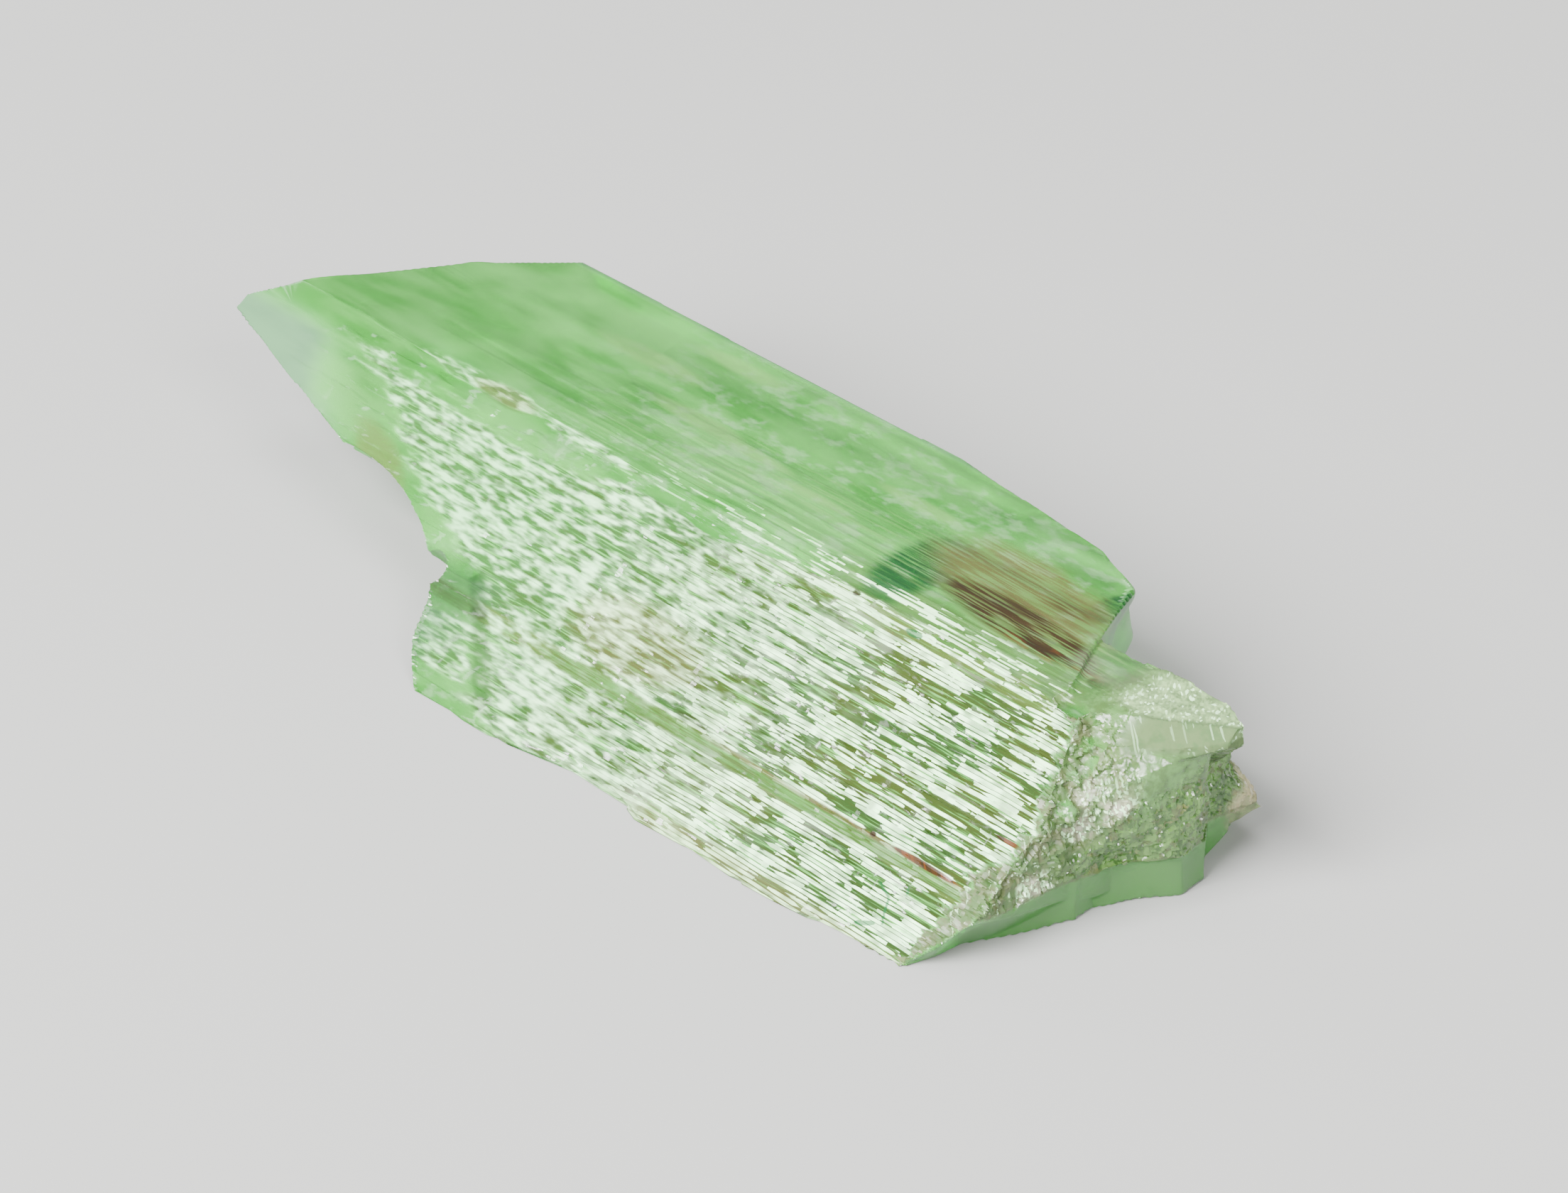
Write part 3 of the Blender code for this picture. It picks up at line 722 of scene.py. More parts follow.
@dataclass(frozen=True)
class Skin:
    """The crystal's skin: one fine closed mesh, the relief pressed into it, and its thinning.

    The grid's cells are longer along the c axis, as the striations are.
    """

    cell: float = 0.045
    stretch: float = 2.4
    most_triangles: int = 190_000
    sharp_angle: float = math.radians(28)
    etching: Etching = Etching()
    broken: Break = Break()
    crest_row: Mark = (4.0, 0.11)
    crest_row_depth: float = 0.03
    faint_row: Mark = (7.0, 0.5)
    faint_row_depth: float = 0.02
    stria: Mark = (9.0, 0.42)
    fine_stria: Mark = (3.0, 0.12)
    stria_depth: float = 0.05
    hillock: Spot = (2.2, 1.6, 1.3)
    hillock_depth: float = 0.16
    field_sink: float = 0.02
    end_sink: float = 0.06
    crest_wear: float = 0.16
    crest_worn: float = 0.6

    def cover(self, shop: Workshop, body: bpy.types.Object) -> None:
        """Makes the blocks one skin of fine cells."""
        body.data.transform(Matrix.Diagonal((1.0 / self.stretch, 1.0, 1.0, 1.0)))
        modifier = body.modifiers.new("skin", "REMESH")
        modifier.mode = "VOXEL"
        modifier.voxel_size = self.cell
        shop.settle(body)
        body.data.transform(Matrix.Diagonal((self.stretch, 1.0, 1.0, 1.0)))
        body.data.update()

    def press(self, mesh: bpy.types.Mesh) -> None:
        """Presses the relief into the skin, and notes on each point how much of a plateau it is."""
        count = len(mesh.vertices)
        points, normals = np.empty(count * 3), np.empty(count * 3)
        mesh.vertices.foreach_get("co", points)
        mesh.vertex_normals.foreach_get("vector", normals)
        points, normals = points.reshape(-1, 3), normals.reshape(-1, 3)
        x, y, z = points.T
        face = np.array(PRISM.broad_normal())
        lift = (points - np.array(PRISM.on_broad(0.0, 0.0))) @ face
        s = (y - PRISM.front_y) * math.cos(PRISM.tilt) + z * math.sin(PRISM.tilt)

        on_broad = smooth_step(0.80, 0.95, normals @ face) * smooth_step(0.5, 0.2, np.abs(lift))
        field = self.etching.reach(x, s)
        past = on_broad * smooth_step(-0.02, 0.08, self.etching.past_end(x, s))
        depth, plateau = self.etching.press(x, s)
        depth = depth + self.field_sink * (1.0 - field)
        sink = on_broad * (1.0 - past) * smooth_step(-34.0, -30.0, x) * depth
        etch = on_broad * field * plateau

        on_top = smooth_step(0.9, 0.98, normals[:, 2]) * smooth_step(4.9, 5.1, z)
        near_crest = smooth_step(PRISM.crest_y + 3.4, PRISM.crest_y + 0.6, y)
        near_crest = near_crest * smooth_step(-26.0, -14.0, x) * smooth_step(-0.8, -1.6, x)
        rows = bricks(x, y + 0.03 * np.sin(x), *self.crest_row, 31)
        sink = sink + on_top * near_crest * self.crest_row_depth * (rows > 0.5)
        faint = bricks(x, y, *self.faint_row, 35)
        sink = sink + on_top * self.faint_row_depth * (faint > 0.5) * smooth_step(-32.0, -24.0, x)
        etch = np.maximum(etch, on_top * field)

        on_end = smooth_step(-2.2, -0.4, x) * smooth_step(0.05, 0.35, normals[:, 0])
        on_end = np.maximum(on_end, smooth_step(-3.0, -1.5, x) * smooth_step(8.0, 9.4, y))
        on_end = on_end * (1.0 - on_broad)
        knob = smooth_step(0.7, 1.1, x) * smooth_step(3.2, 3.6, z)
        above = smooth_step(1.1, 1.35, z) * (1.0 - 0.55 * knob)
        deep = smooth_step(-1.6, -2.1, lift)
        crumbly = on_end * above * (1.0 - deep) * (1.0 - 0.7 * smooth_step(5.8, 6.6, y))
        crumbly = np.maximum(crumbly, past)
        glassy = on_end * smooth_step(1.35, 1.1, z)
        raised = self.broken.press(points, crumbly, on_end * above * deep, glassy) - self.end_sink * past

        elsewhere = (1.0 - on_broad) * (1.0 - on_top) * (1.0 - on_end) * smooth_step(0.05, 0.4, z)
        parallel_to_c = smooth_step(0.35, 0.15, np.abs(normals[:, 0]))
        girth = 0.8 * y - 1.1 * z
        rows = bricks(x, girth, *self.stria, 41)
        fine = bricks(x, girth, *self.fine_stria, 44)
        sink = sink + elsewhere * parallel_to_c * self.stria_depth * ((rows > 0.5) + 0.5 * (fine > 0.6))
        etch = np.maximum(etch, elsewhere * parallel_to_c * 0.6 * (rows < 0.4) * (fine < 0.5))
        hillocks = lattice_noise((x, y, z), self.hillock, 21)
        sink = sink + elsewhere * (1.0 - parallel_to_c) * self.hillock_depth * hillocks

        off_crest = np.hypot(y - PRISM.crest_y, z - PRISM.height)
        worn = self.crest_wear * np.exp(-((off_crest / self.crest_worn) ** 2))
        worn = worn * smooth_step(-32.0, -28.0, x)
        moved = points + normals * (raised - sink - worn)[:, None]
        moved[:, 1] -= smooth_step(-2.6, -0.4, lift) * self.etching.wander(x, s)
        moved[:, 2] = np.maximum(moved[:, 2], 0.0)
        mesh.vertices.foreach_set("co", moved.reshape(-1))
        groove = smooth_step(0.3, 0.6, self.etching.groove(x, s))
        etched_top = on_top * smooth_step(7.2, 6.4, y)
        bare = 1.0 - field * np.maximum(on_broad * (1.0 - 0.8 * groove), etched_top)
        for name, values in (("etch", etch), ("bare", bare), ("crumb", crumbly)):
            note = mesh.attributes.new(name, "FLOAT", "POINT")
            note.data.foreach_set("value", values)
        mesh.update()

    def thin(self, shop: Workshop, body: bpy.types.Object) -> None:
        """Thins the skin where it is flat, and marks the sharp edges of its steps."""
        body.data.calc_loop_triangles()
        modifier = body.modifiers.new("thin", "DECIMATE")
        modifier.ratio = min(1.0, self.most_triangles / len(body.data.loop_triangles))
        shop.settle(body)
        mesh = body.data
        mesh.polygons.foreach_set("use_smooth", [True] * len(mesh.polygons))
        mesh.set_sharp_from_angle(angle=self.sharp_angle)


@dataclass
class Crystal:
    """The whole crystal: its blocks, its skin and its finish."""

    trunk: Trunk = Trunk()
    far_corner: FarCorner = FarCorner()
    broken_end: BrokenEnd = BrokenEnd()
    skin: Skin = Skin()
    shop: Workshop = field(default_factory=Workshop)
    middle: Vector = field(default_factory=lambda: Vector((0.0, 0.0, 0.0)))

    def blocks(self) -> bpy.types.Object:
        """The crystal with flat faces, as closed blocks in one mesh."""
        body = self.trunk.build(self.shop)
        self.far_corner.cut(self.shop, body)
        shape = bmesh.new()
        for piece in [body] + self.broken_end.build(self.shop):
            shape.from_mesh(piece.data)
        shape.to_mesh(body.data)
        shape.free()
        return body

    def centre(self, mesh: bpy.types.Mesh) -> None:
        """Moves the origin to the middle of the base and scales to metres."""
        points = np.empty(len(mesh.vertices) * 3)
        mesh.vertices.foreach_get("co", points)
        points = points.reshape(-1, 3)
        middle = (points.min(0) + points.max(0)) / 2
        self.middle = Vector((middle[0], middle[1], 0.0))
        scale = Matrix.Diagonal((MILLIMETRE, MILLIMETRE, MILLIMETRE, 1.0))
        mesh.transform(scale @ Matrix.Translation(-self.middle))

    def build(self) -> bpy.types.Object:
        """Makes the crystal's mesh.

        Returns:
            The crystal, in metres, with its origin in the middle of its base.
        """
        body = self.blocks()
        self.skin.cover(self.shop, body)
        self.skin.press(body.data)
        self.skin.thin(self.shop, body)
        self.centre(body.data)
        self.shop.close(body)
        body.name = "hiddenite_crystal"
        return body


# ---- finishes -----------------------------------------------------------------------------------------

Colour = tuple[float, float, float]
Number = Union["Value", float]
Tint = Union["Value", Colour]


class Sum(Enum):
    """The sums that a Math node does here."""

    PLUS = "ADD"
    MINUS = "SUBTRACT"
    TIMES = "MULTIPLY"
    OVER = "DIVIDE"
    GREATER = "MAXIMUM"
    LESSER = "MINIMUM"
    SIZE = "ABSOLUTE"
    FLOOR = "FLOOR"


def linear(level: int) -> float:
    """Turns one level of a display colour, 0 to 255, into a linear one."""
    share = level / 255
    return share / 12.92 if share <= 0.04045 else ((share + 0.055) / 1.055) ** 2.4


def display(red: int, green: int, blue: int) -> Colour:
    """Turns a display colour, 0 to 255, into a linear one."""
    return linear(red), linear(green), linear(blue)


class Value:
    """A number or colour that flows between nodes. Arithmetic on it adds Math nodes."""

    def __init__(self, graph: "Graph", socket: bpy.types.NodeSocket) -> None:
        """Holds one output socket of a graph."""
        self.graph = graph
        self.socket = socket

    def __add__(self, other: Number) -> "Value":
        """The sum of two."""
        return self.graph.sum(Sum.PLUS, self, other)

    def __sub__(self, other: Number) -> "Value":
        """The difference of two."""
        return self.graph.sum(Sum.MINUS, self, other)

    def __rsub__(self, other: Number) -> "Value":
        """The difference of a plain number and this."""
        return self.graph.sum(Sum.MINUS, other, self)

    def __mul__(self, other: Number) -> "Value":
        """The product of two."""
        return self.graph.sum(Sum.TIMES, self, other)

    def __truediv__(self, other: Number) -> "Value":
        """The quotient of two."""
        return self.graph.sum(Sum.OVER, self, other)

    __radd__ = __add__
    __rmul__ = __mul__

    def size(self) -> "Value":
        """The number without its sign."""
        return self.graph.sum(Sum.SIZE, self)

    def floor(self) -> "Value":
        """The whole number below."""
        return self.graph.sum(Sum.FLOOR, self)

    def step(self, low: float, high: float) -> "Value":
        """A smooth rise from 0 at low to 1 at high, or a fall where low is the greater."""
        inputs = {"Value": self, "From Min": low, "From Max": high}
        return self.graph.node("ShaderNodeMapRange", inputs, 0, interpolation_type="SMOOTHSTEP")


class Graph:
    """Builds one material's nodes from values."""

    def __init__(self, name: str) -> None:
        """Starts a material with a Principled BSDF."""
        self.material = bpy.data.materials.new(name)
        self.material.use_nodes = True
        self.tree = self.material.node_tree
        self.shader = self.tree.nodes["Principled BSDF"]

    def wire(self, socket: bpy.types.NodeSocket, value: Union[Number, Tint, Vector]) -> None:
        """Links a value to an input, or sets a plain number, colour or vector on it."""
        if isinstance(value, Value):
            self.tree.links.new(value.socket, socket)
        elif isinstance(value, tuple) and socket.type == "RGBA":
            socket.default_value = (*value, 1.0)
        else:
            socket.default_value = value

    def node(
        self, kind: str, inputs: dict[Union[str, int], Union[Number, Tint]], output: int, **settings: str
    ) -> Value:
        """Adds a node.

        Args:
            kind: The node's type name.
            inputs: What goes into it, by socket name or number.
            output: Which of its outputs is wanted.
            settings: Its own properties.

        Returns:
            The value that comes out of it.
        """
        made = self.tree.nodes.new(kind)
        for name, setting in settings.items():
            setattr(made, name, setting)
        for key, value in inputs.items():
            self.wire(made.inputs[key], value)
        return Value(self, made.outputs[output])

    def sum(self, how: Sum, *terms: Number) -> Value:
        """Adds a Math node on one or two terms."""
        return self.node("ShaderNodeMath", dict(enumerate(terms)), 0, operation=how.value)

    def greater(self, one: Number, other: Number) -> Value:
        """The greater of two numbers."""
        return self.sum(Sum.GREATER, one, other)

    def mix(self, share: Number, first: Tint, second: Tint) -> Value:
        """A colour that goes from the first to the second as the share goes from 0 to 1."""
        inputs = {0: share, 6: first, 7: second}
        return self.node("ShaderNodeMix", inputs, 2, data_type="RGBA")

    def lerp(self, share: Value, first: Number, second: Number) -> Value:
        """A number that goes from the first to the second as the share goes from 0 to 1."""
        return self.node("ShaderNodeMix", {0: share, 2: first, 3: second}, 0, data_type="FLOAT")

    def place(self, x: Number, y: Number, z: Number = 0.0) -> Value:
        """A vector of three numbers."""
        return self.node("ShaderNodeCombineXYZ", {0: x, 1: y, 2: z}, 0)

    def vector(self, place: Value, scale: Spot, offset: Spot) -> Value:
        """A vector that is scaled and then shifted."""
        inputs = {0: place, 1: scale, 2: offset}
        return self.node("ShaderNodeVectorMath", inputs, 0, operation="MULTIPLY_ADD")

    def dot(self, one: Value, other: Union[Value, Spot]) -> Value:
        """The dot product of two vectors."""
        return self.node("ShaderNodeVectorMath", {0: one, 1: other}, 1, operation="DOT_PRODUCT")

    def noise(self, place: Value, detail: float = 2.0, rough: float = 0.5) -> Value:
        """Smooth noise from about 0 to 1, with features about one unit of the place in size."""
        inputs = {"Vector": place, "Scale": 1.0, "Detail": detail, "Roughness": rough}
        return self.node("ShaderNodeTexNoise", inputs, 0)

    def tiles(self, along: Value, row: Value, length: float) -> Value:
        """A number from 0 to 1 for each brick of a row, the same all over the brick."""
        kind = "ShaderNodeTexWhiteNoise"
        slip = self.node(kind, {1: row}, 0, noise_dimensions="1D")
        column = (along / length + slip * 7.0).floor()
        return self.node(kind, {0: self.place(row, column)}, 0, noise_dimensions="2D")

    def grains(self, place: Value, size: float) -> Value:
        """A number from 0 to 1 for each angular grain of about that size."""
        inputs = {"Vector": place, "Scale": 1 / size}
        cells = self.node("ShaderNodeTexVoronoi", inputs, 1, voronoi_dimensions="2D")
        return self.node("ShaderNodeSeparateColor", {0: cells}, 0)


@dataclass(frozen=True)
class Patch:
    """A soft-edged oval patch, in millimetres of the plane that it is drawn in."""

    centre: Mark
    reach: Mark
    soft: float = 0.5
    lean: float = 0.0

    def on(self, place: Value, push: Value) -> Value:
        """How much of the patch is at each place.

        Args:
            place: Vector of the place in the plane that the patch is drawn in. Its lean raises the patch by
                that much for each unit of the plane's first axis.
            push: Noise around 0 that breaks its edge.

        Returns:
            A number from 0 to 1.
        """
        return any_of((self,), place, push)

    def span(self, place: Value) -> Value:
        """The square of how far each place is from the middle, as a share of the patch's reach."""
        graph, (wide, high) = place.graph, self.reach
        offset = (-self.centre[0] / wide, (self.lean * self.centre[0] - self.centre[1]) / high, 0.0)
        if self.lean:
            level = graph.dot(place, (1 / wide, 0.0, 0.0))
            slant = graph.dot(place, (-self.lean / high, 1 / high, 0.0))
            from_centre = graph.vector(graph.place(level, slant), (1.0, 1.0, 0.0), offset)
        else:
            from_centre = graph.vector(place, (1 / wide, 1 / high, 0.0), offset)
        return graph.dot(from_centre, from_centre)


def any_of(patches: Sequence[Patch], place: Value, push: Value) -> Value:
    """How much of any of some equally soft patches is at each place.

    Args:
        patches: The patches, all as soft as the first.
        place: Vector of the place in the plane that they are drawn in.
        push: Noise around 0 that breaks their edges.

    Returns:
        A number from 0 to 1.
    """
    nearest = patches[0].span(place)
    for patch in patches[1:]:
        nearest = place.graph.sum(Sum.LESSER, nearest, patch.span(place))
    return (nearest + push).step(1.0 + patches[0].soft, 1.0 - patches[0].soft)


@dataclass(frozen=True)
class Crack:
    """A hair crack between two marks on the broad face."""

    start: Mark
    end: Mark
    width: float = 0.06
    taper: float = 0.06

    def on(self, place: Value) -> Value:
        """How much of the crack is at each place of the broad face, given as a vector of x and s."""
        graph = place.graph
        run = (self.end[0] - self.start[0], self.end[1] - self.start[1])
        length = math.hypot(*run)
        way = (run[0] / length, run[1] / length)
        middle = ((self.start[0] + self.end[0]) / 2, (self.start[1] + self.end[1]) / 2)
        from_middle = graph.vector(place, (1.0, 1.0, 0.0), (-middle[0], -middle[1], 0.0))
        along = graph.dot(from_middle, (*way, 0.0)).size()
        across = graph.dot(from_middle, (-way[1], way[0], 0.0)).size()
        within = along.step(length / 2 + self.taper, length / 2 - self.taper)
        return across.step(self.width, self.width * 0.3) * within


class Surface:
    """The crystal's surface as its finish sees it: where each place lies, on which face, and its noises."""

    def __init__(self, graph: Graph, middle: Vector) -> None:
        """Reads the places, the skin's notes, the faces and the noises.

        Args:
            graph: The material's graph.
            middle: Where the crystal's origin is in the working frame, in millimetres.
        """
        self.graph = graph
        metres = graph.node("ShaderNodeTexCoord", {}, 3)
        millimetres = graph.vector(metres, (1 / MILLIMETRE,) * 3, tuple(middle))
        x, y, z = (graph.node("ShaderNodeSeparateXYZ", {0: millimetres}, axis) for axis in range(3))
        s = (y - PRISM.front_y) * math.cos(PRISM.tilt) + z * math.sin(PRISM.tilt)
        self.x, self.y, self.z, self.s = x, y, z, s
        self.lift = z * math.cos(PRISM.tilt) - (y - PRISM.front_y) * math.sin(PRISM.tilt)
        self.plan, self.face, self.end_view = graph.place(x, y), graph.place(x, s), graph.place(y, z)
        self.etch, self.bare, self.crumb = (
            graph.node("ShaderNodeAttribute", {}, 2, attribute_name=note)
            for note in ("etch", "bare", "crumb")
        )

        crest = PRISM.crest_s
        self.broad = self.lift.step(-0.7, -0.35) * s.step(crest + 0.5, crest - 0.3)
        self.top = s.step(crest - 0.3, crest + 0.3) * z.step(4.6, 5.0)
        self.end = x.step(-1.6, -0.3) * (1.0 - self.broad)
        self.near = x.step(-24.0, -8.0)

        self.streaks = graph.noise(graph.place(x / 3.4, s / 0.5, z / 0.8), 2.0, 0.6)
        self.mottle = graph.noise(graph.place(x / 4.0, y / 2.2, z / 2.2))
        self.ragged = graph.noise(graph.place(x / 1.6, s / 0.35, z / 0.5), 3.0, 0.65)
        self.hair = graph.noise(graph.place(x / 2.4, y / 0.09, z / 0.5))
        self.row_tone = graph.noise(graph.place(x / 1.8, s / 0.07, 13.0))
        self.groove_tone = graph.noise(graph.place(x / 2.6, s / 0.045, 17.0))
        self.lumps = graph.noise(graph.place(x / 0.5, y / 0.5, z / 0.5), 3.0, 0.7)
        self.push = (self.ragged - 0.5) * 1.2
        self.lump_push = (self.lumps - 0.5) * 1.2
        askew = graph.place(y + x * 0.6, z + x * 0.8)
        self.grains = graph.grains(askew, 0.16)
        self.sparkle = graph.grains(askew, 0.07)

    def cracked(self, cracks: Sequence[Crack]) -> Value:
        """How much of any of some cracks is at each place of the broad face."""
        found = cracks[0].on(self.face)
        for crack in cracks[1:]:
            found = self.graph.greater(found, crack.on(self.face))
        return found


class Coat:
    """What covers each place so far: its colour, and how much light goes through it."""

    def __init__(self, graph: Graph, colour: Value, clear: Value) -> None:
        """Starts the coat with its ground colour and its clearness."""
        self.graph = graph
        self.colour = colour
        self.clear = clear

    def paint(self, share: Value, tint: Tint) -> None:
        """Covers a share of each place with a tint."""
        self.colour = self.graph.mix(share, self.colour, tint)

    def dull(self, share: Value) -> None:
        """Lets that share less light through each place."""
        self.clear = self.clear * (1.0 - share)


@dataclass(frozen=True)
class HiddeniteFinish:
    """Clear green spodumene: see-through where it is smooth, with the reflection off its etched plateaus
    painted white.
    """

    ior: float = 1.66
    absorbed: Colour = (0.26, 0.87, 0.08)
    density: float = 240.0
    clear_top: float = 0.74
    clear_broad: float = 0.46
    body: Colour = display(132, 226, 112)
    deep: Colour = display(78, 176, 64)
    lime: Colour = display(172, 240, 132)
    far_gap: Colour = display(66, 124, 56)
    near_gap: Colour = display(50, 78, 34)
    # olive tone; it also lays the painted shadow rows between the plateaus
    olive_and_shade: Colour = display(66, 80, 32)
    # The two whites below are painted reflection: the light that the flat etched plateaus mirror, laid in as
    # colour. The first also tints the pale clouds of the far top and lays the painted glints of the rubble
    # and knob.
    plateau: Colour = display(206, 255, 196)
    far_plateau_reflection: Colour = display(146, 208, 142)
    frost: Colour = display(58, 90, 70)
    emerald: Colour = display(30, 98, 50)
    rust: Colour = display(76, 42, 12)
    umber: Colour = display(41, 30, 12)
    smoke: Colour = display(98, 92, 50)
    tan: Colour = display(124, 124, 76)
    straw: Colour = display(146, 156, 82)
    rose: Colour = display(146, 122, 92)
    crumb: Colour = display(86, 96, 56)
    break_green: Colour = display(98, 136, 68)
    break_dark: Colour = display(54, 86, 36)
    crumb_green: Colour = display(70, 100, 46)
    glint: Colour = display(170, 168, 146)
    cheek: Colour = display(112, 118, 96)
    knob: Colour = display(60, 90, 40)
    knob_top: Colour = display(140, 172, 112)
    knob_side: Colour = display(98, 144, 76)
    bald: Colour = display(100, 124, 56)
    bone: Colour = display(214, 198, 158)
    shell: Colour = display(104, 168, 84)
    groove_s: float = 2.45
    crest_s: float = 8.35
    row_width: float = 0.122
    crest_row_width: float = 0.052
    lime_patches: tuple[Patch, ...] = (
        Patch((-19.6, 8.9), (1.9, 0.35), 0.8),
        Patch((-16.9, 8.7), (1.5, 0.22), 0.8),
        Patch((-13.8, 8.3), (1.4, 0.20), 0.8),
        Patch((-21.3, 12.0), (1.8, 0.35), 0.8),
        Patch((-11.5, 10.2), (1.7, 0.25), 0.8),
        Patch((-23.5, 10.4), (2.2, 0.40), 0.8),
    )
    dense_rows: tuple[Patch, ...] = (Patch((-7.0, 8.62), (1.9, 0.16)), Patch((-5.6, 8.12), (1.3, 0.14)))
    emerald_patch: Patch = Patch((-8.9, 7.7), (1.1, 1.9), 0.5, -0.5)
    emerald_spots: tuple[Patch, ...] = (
        Patch((-1.1, 7.3), (0.45, 0.4), 0.4),
        Patch((-3.7, 10.3), (0.6, 1.1)),
    )
    haze_patch: Patch = Patch((-6.0, 8.9), (3.6, 1.7), 0.6, -0.10)
    stain_patch: Patch = Patch((-4.6, 7.68), (3.7, 0.86), 0.35, -0.07)
    stain_blob: Patch = Patch((-4.5, 9.2), (0.9, 0.3), 0.9)
    broad_blush: Patch = Patch((-14.6, 3.9), (2.6, 1.1), 0.6)
    crest_blush: Patch = Patch((-24.6, 8.2), (1.3, 0.3), 0.6)
    rust_lines: tuple[Patch, ...] = (
        Patch((-1.65, 2.68), (1.3, 0.09), 0.3),
        Patch((0.45, 4.29), (0.6, 0.06), 0.3),
    )
    faint_rust: Patch = Patch((-4.6, 2.66), (2.6, 0.05))
    rust_spots: tuple[Patch, ...] = (
        Patch((-7.06, 7.52), (0.45, 0.13), 0.7),
        Patch((-4.46, 8.25), (0.45, 0.13), 0.7),
        Patch((-2.61, 8.31), (0.45, 0.13), 0.7),
        Patch((-1.2, 8.4), (0.45, 0.13), 0.7),
    )
    tan_patch: Patch = Patch((-11.05, 2.84), (0.8, 0.12))
    specks: tuple[Patch, ...] = (Patch((-3.59, 2.71), (0.12, 0.07)), Patch((-9.18, 8.1), (0.14, 0.09)))
    pit: Patch = Patch((-6.57, 7.87), (0.30, 0.11), 0.2)
    cracks: tuple[Crack, ...] = (
        Crack((-2.36, 1.71), (-1.78, 1.47)),
        Crack((-1.80, 1.48), (-1.54, 0.79)),
        Crack((-1.56, 2.0), (-1.42, 1.78)),
    )
    leaf: Patch = Patch((-2.05, 0.61), (0.30, 0.09), 0.2, 0.4)
    seams: tuple[Crack, ...] = (
        Crack((-21.1, 3.3), (-19.4, 1.8), 0.4),
        Crack((-19.5, 1.9), (-17.4, 0.1), 0.4),
    )
    seam_shadow: Patch = Patch((-20.1, 2.4), (0.35, 0.2))
    sugar_patches: tuple[Patch, ...] = (
        Patch((5.6, 3.45), (0.8, 0.5), 0.7),
        Patch((4.65, 2.75), (0.5, 0.35), 0.7),
        Patch((6.3, 3.9), (0.3, 0.2), 0.7),
        Patch((3.2, 1.4), (0.6, 0.5), 0.7),
    )
    spike_patch: Patch = Patch((11.0, 1.1), (1.1, 0.8))
    warm_patch: Patch = Patch((-27.2, 4.9), (1.5, 0.5), 0.7, -0.3)

    def dress(self, crystal: bpy.types.Object, middle: Vector) -> None:
        """Makes the material and puts it on.

        Args:
            crystal: The crystal, in metres.
            middle: Where its origin is in the working frame, in millimetres.
        """
        graph = Graph("hiddenite")
        on = Surface(graph, middle)
        # white: the painted reflection off the plateaus and the crest rows, laid in as colour
        white = graph.greater(self.field(on) * (1.0 - on.bare), self.crest_reflection_rows(on))
        clear = graph.lerp(on.broad * (1.0 - on.bare), self.clear_top, self.clear_broad)
        coat = Coat(graph, self.ground(on), clear * (1.0 - white))
        self.groove_and_crest(on, coat)
        self.stains(on, coat)
        self.plateaus(on, coat, white)
        self.rust_and_specks(on, coat)
        self.cracks_and_seams(on, coat)
        rough = graph.lerp(white, graph.lerp(on.broad, 0.26, 0.16), 0.4)
        rough = self.broken_end(on, coat, rough)
        rough = self.edges(on, coat, rough)

        graph.wire(graph.shader.inputs["Base Color"], coat.colour)
        graph.wire(graph.shader.inputs["Roughness"], rough)
        graph.wire(graph.shader.inputs["Transmission Weight"], coat.clear)
        graph.shader.inputs["IOR"].default_value = self.ior
        volume = graph.tree.nodes.new("ShaderNodeVolumeAbsorption")
        volume.inputs["Color"].default_value = (*self.absorbed, 1.0)
        volume.inputs["Density"].default_value = self.density
        output = graph.tree.nodes["Material Output"]
        graph.tree.links.new(volume.outputs["Volume"], output.inputs["Volume"])
        crystal.data.materials.clear()
        crystal.data.materials.append(graph.material)

    def field(self, on: Surface) -> Value:
        """The painted reflection off the etched plateaus, laid in as white in fine serrated rows that grow
        soft towards the termination.

        Args:
            on: The surface.

        Returns:
            A number from 0 to 1.
        """
        graph, x, s = on.graph, on.x, on.s
        wander = graph.noise(graph.place(x / 3.2, s / 0.9, 21.0), 1.0)
        across = (s + (wander - 0.5) * 0.16) / self.row_width
        row = across.floor()
        long, short = graph.tiles(x, row, 1.9), graph.tiles(x + 3.0, row, 0.45)
        streak = graph.noise(graph.place(x / 1.9, row * self.row_width / 0.24), 2.5)
        soft = graph.noise(graph.place(x / 0.75, s / 0.2, 3.0), 1.5, 0.6)
        crisp = streak * 0.95 + long * 0.26 + short * 0.12 - 0.165
        patches = graph.noise(graph.place(x / 3.6, s / 1.3, 9.0))
        pattern = crisp + (on.etch - 0.5) * 0.07 + (patches - 0.5) * 0.22
        pattern = pattern + s.step(2.2, 0.6) * x.step(-8.0, -2.0) * 0.07
        blotchy = (soft + (patches - 0.5) * 0.3 + (on.etch - 0.5) * 0.06).step(0.36, 0.72)
        joined = graph.lerp(graph.tiles(x + 11.0, row, 1.7).step(0.70, 0.74), 0.37, 0.56)
        half_width = graph.sum(Sum.LESSER, (pattern - 0.44) / 0.22, joined)
        serrated = ((across - row - 0.5).size() - half_width).step(0.06, -0.06)
        tone = 0.52 + graph.noise(graph.place(x / 0.8, row, 30.0), 1.0).step(0.38, 0.58) * 0.48
        return graph.lerp(x.step(-19.0, -4.5), blotchy, serrated * tone)

    def crest_reflection_rows(self, on: Surface) -> Value:
        """The thin rows along the crest where the reflection off them is painted white, denser in two
        places.

        Args:
            on: The surface.

        Returns:
            A number from 0 to 1.
        """
        graph, x, s = on.graph, on.x, on.s
        dense = any_of(self.dense_rows, on.face, on.push)
        row = (s / self.crest_row_width).floor()
        thin = (graph.tiles(x, row, 0.8) + dense * 0.45).step(0.80, 0.84)
        thin = thin * (s - self.crest_s).size().step(0.72, 0.5) * (on.ragged + dense * 0.3).step(0.40, 0.52)
        thin = thin * x.step(-24.0, -14.0) * x.step(-0.8, -1.2)
        return thin * graph.lerp(on.near, 0.4, 0.9)

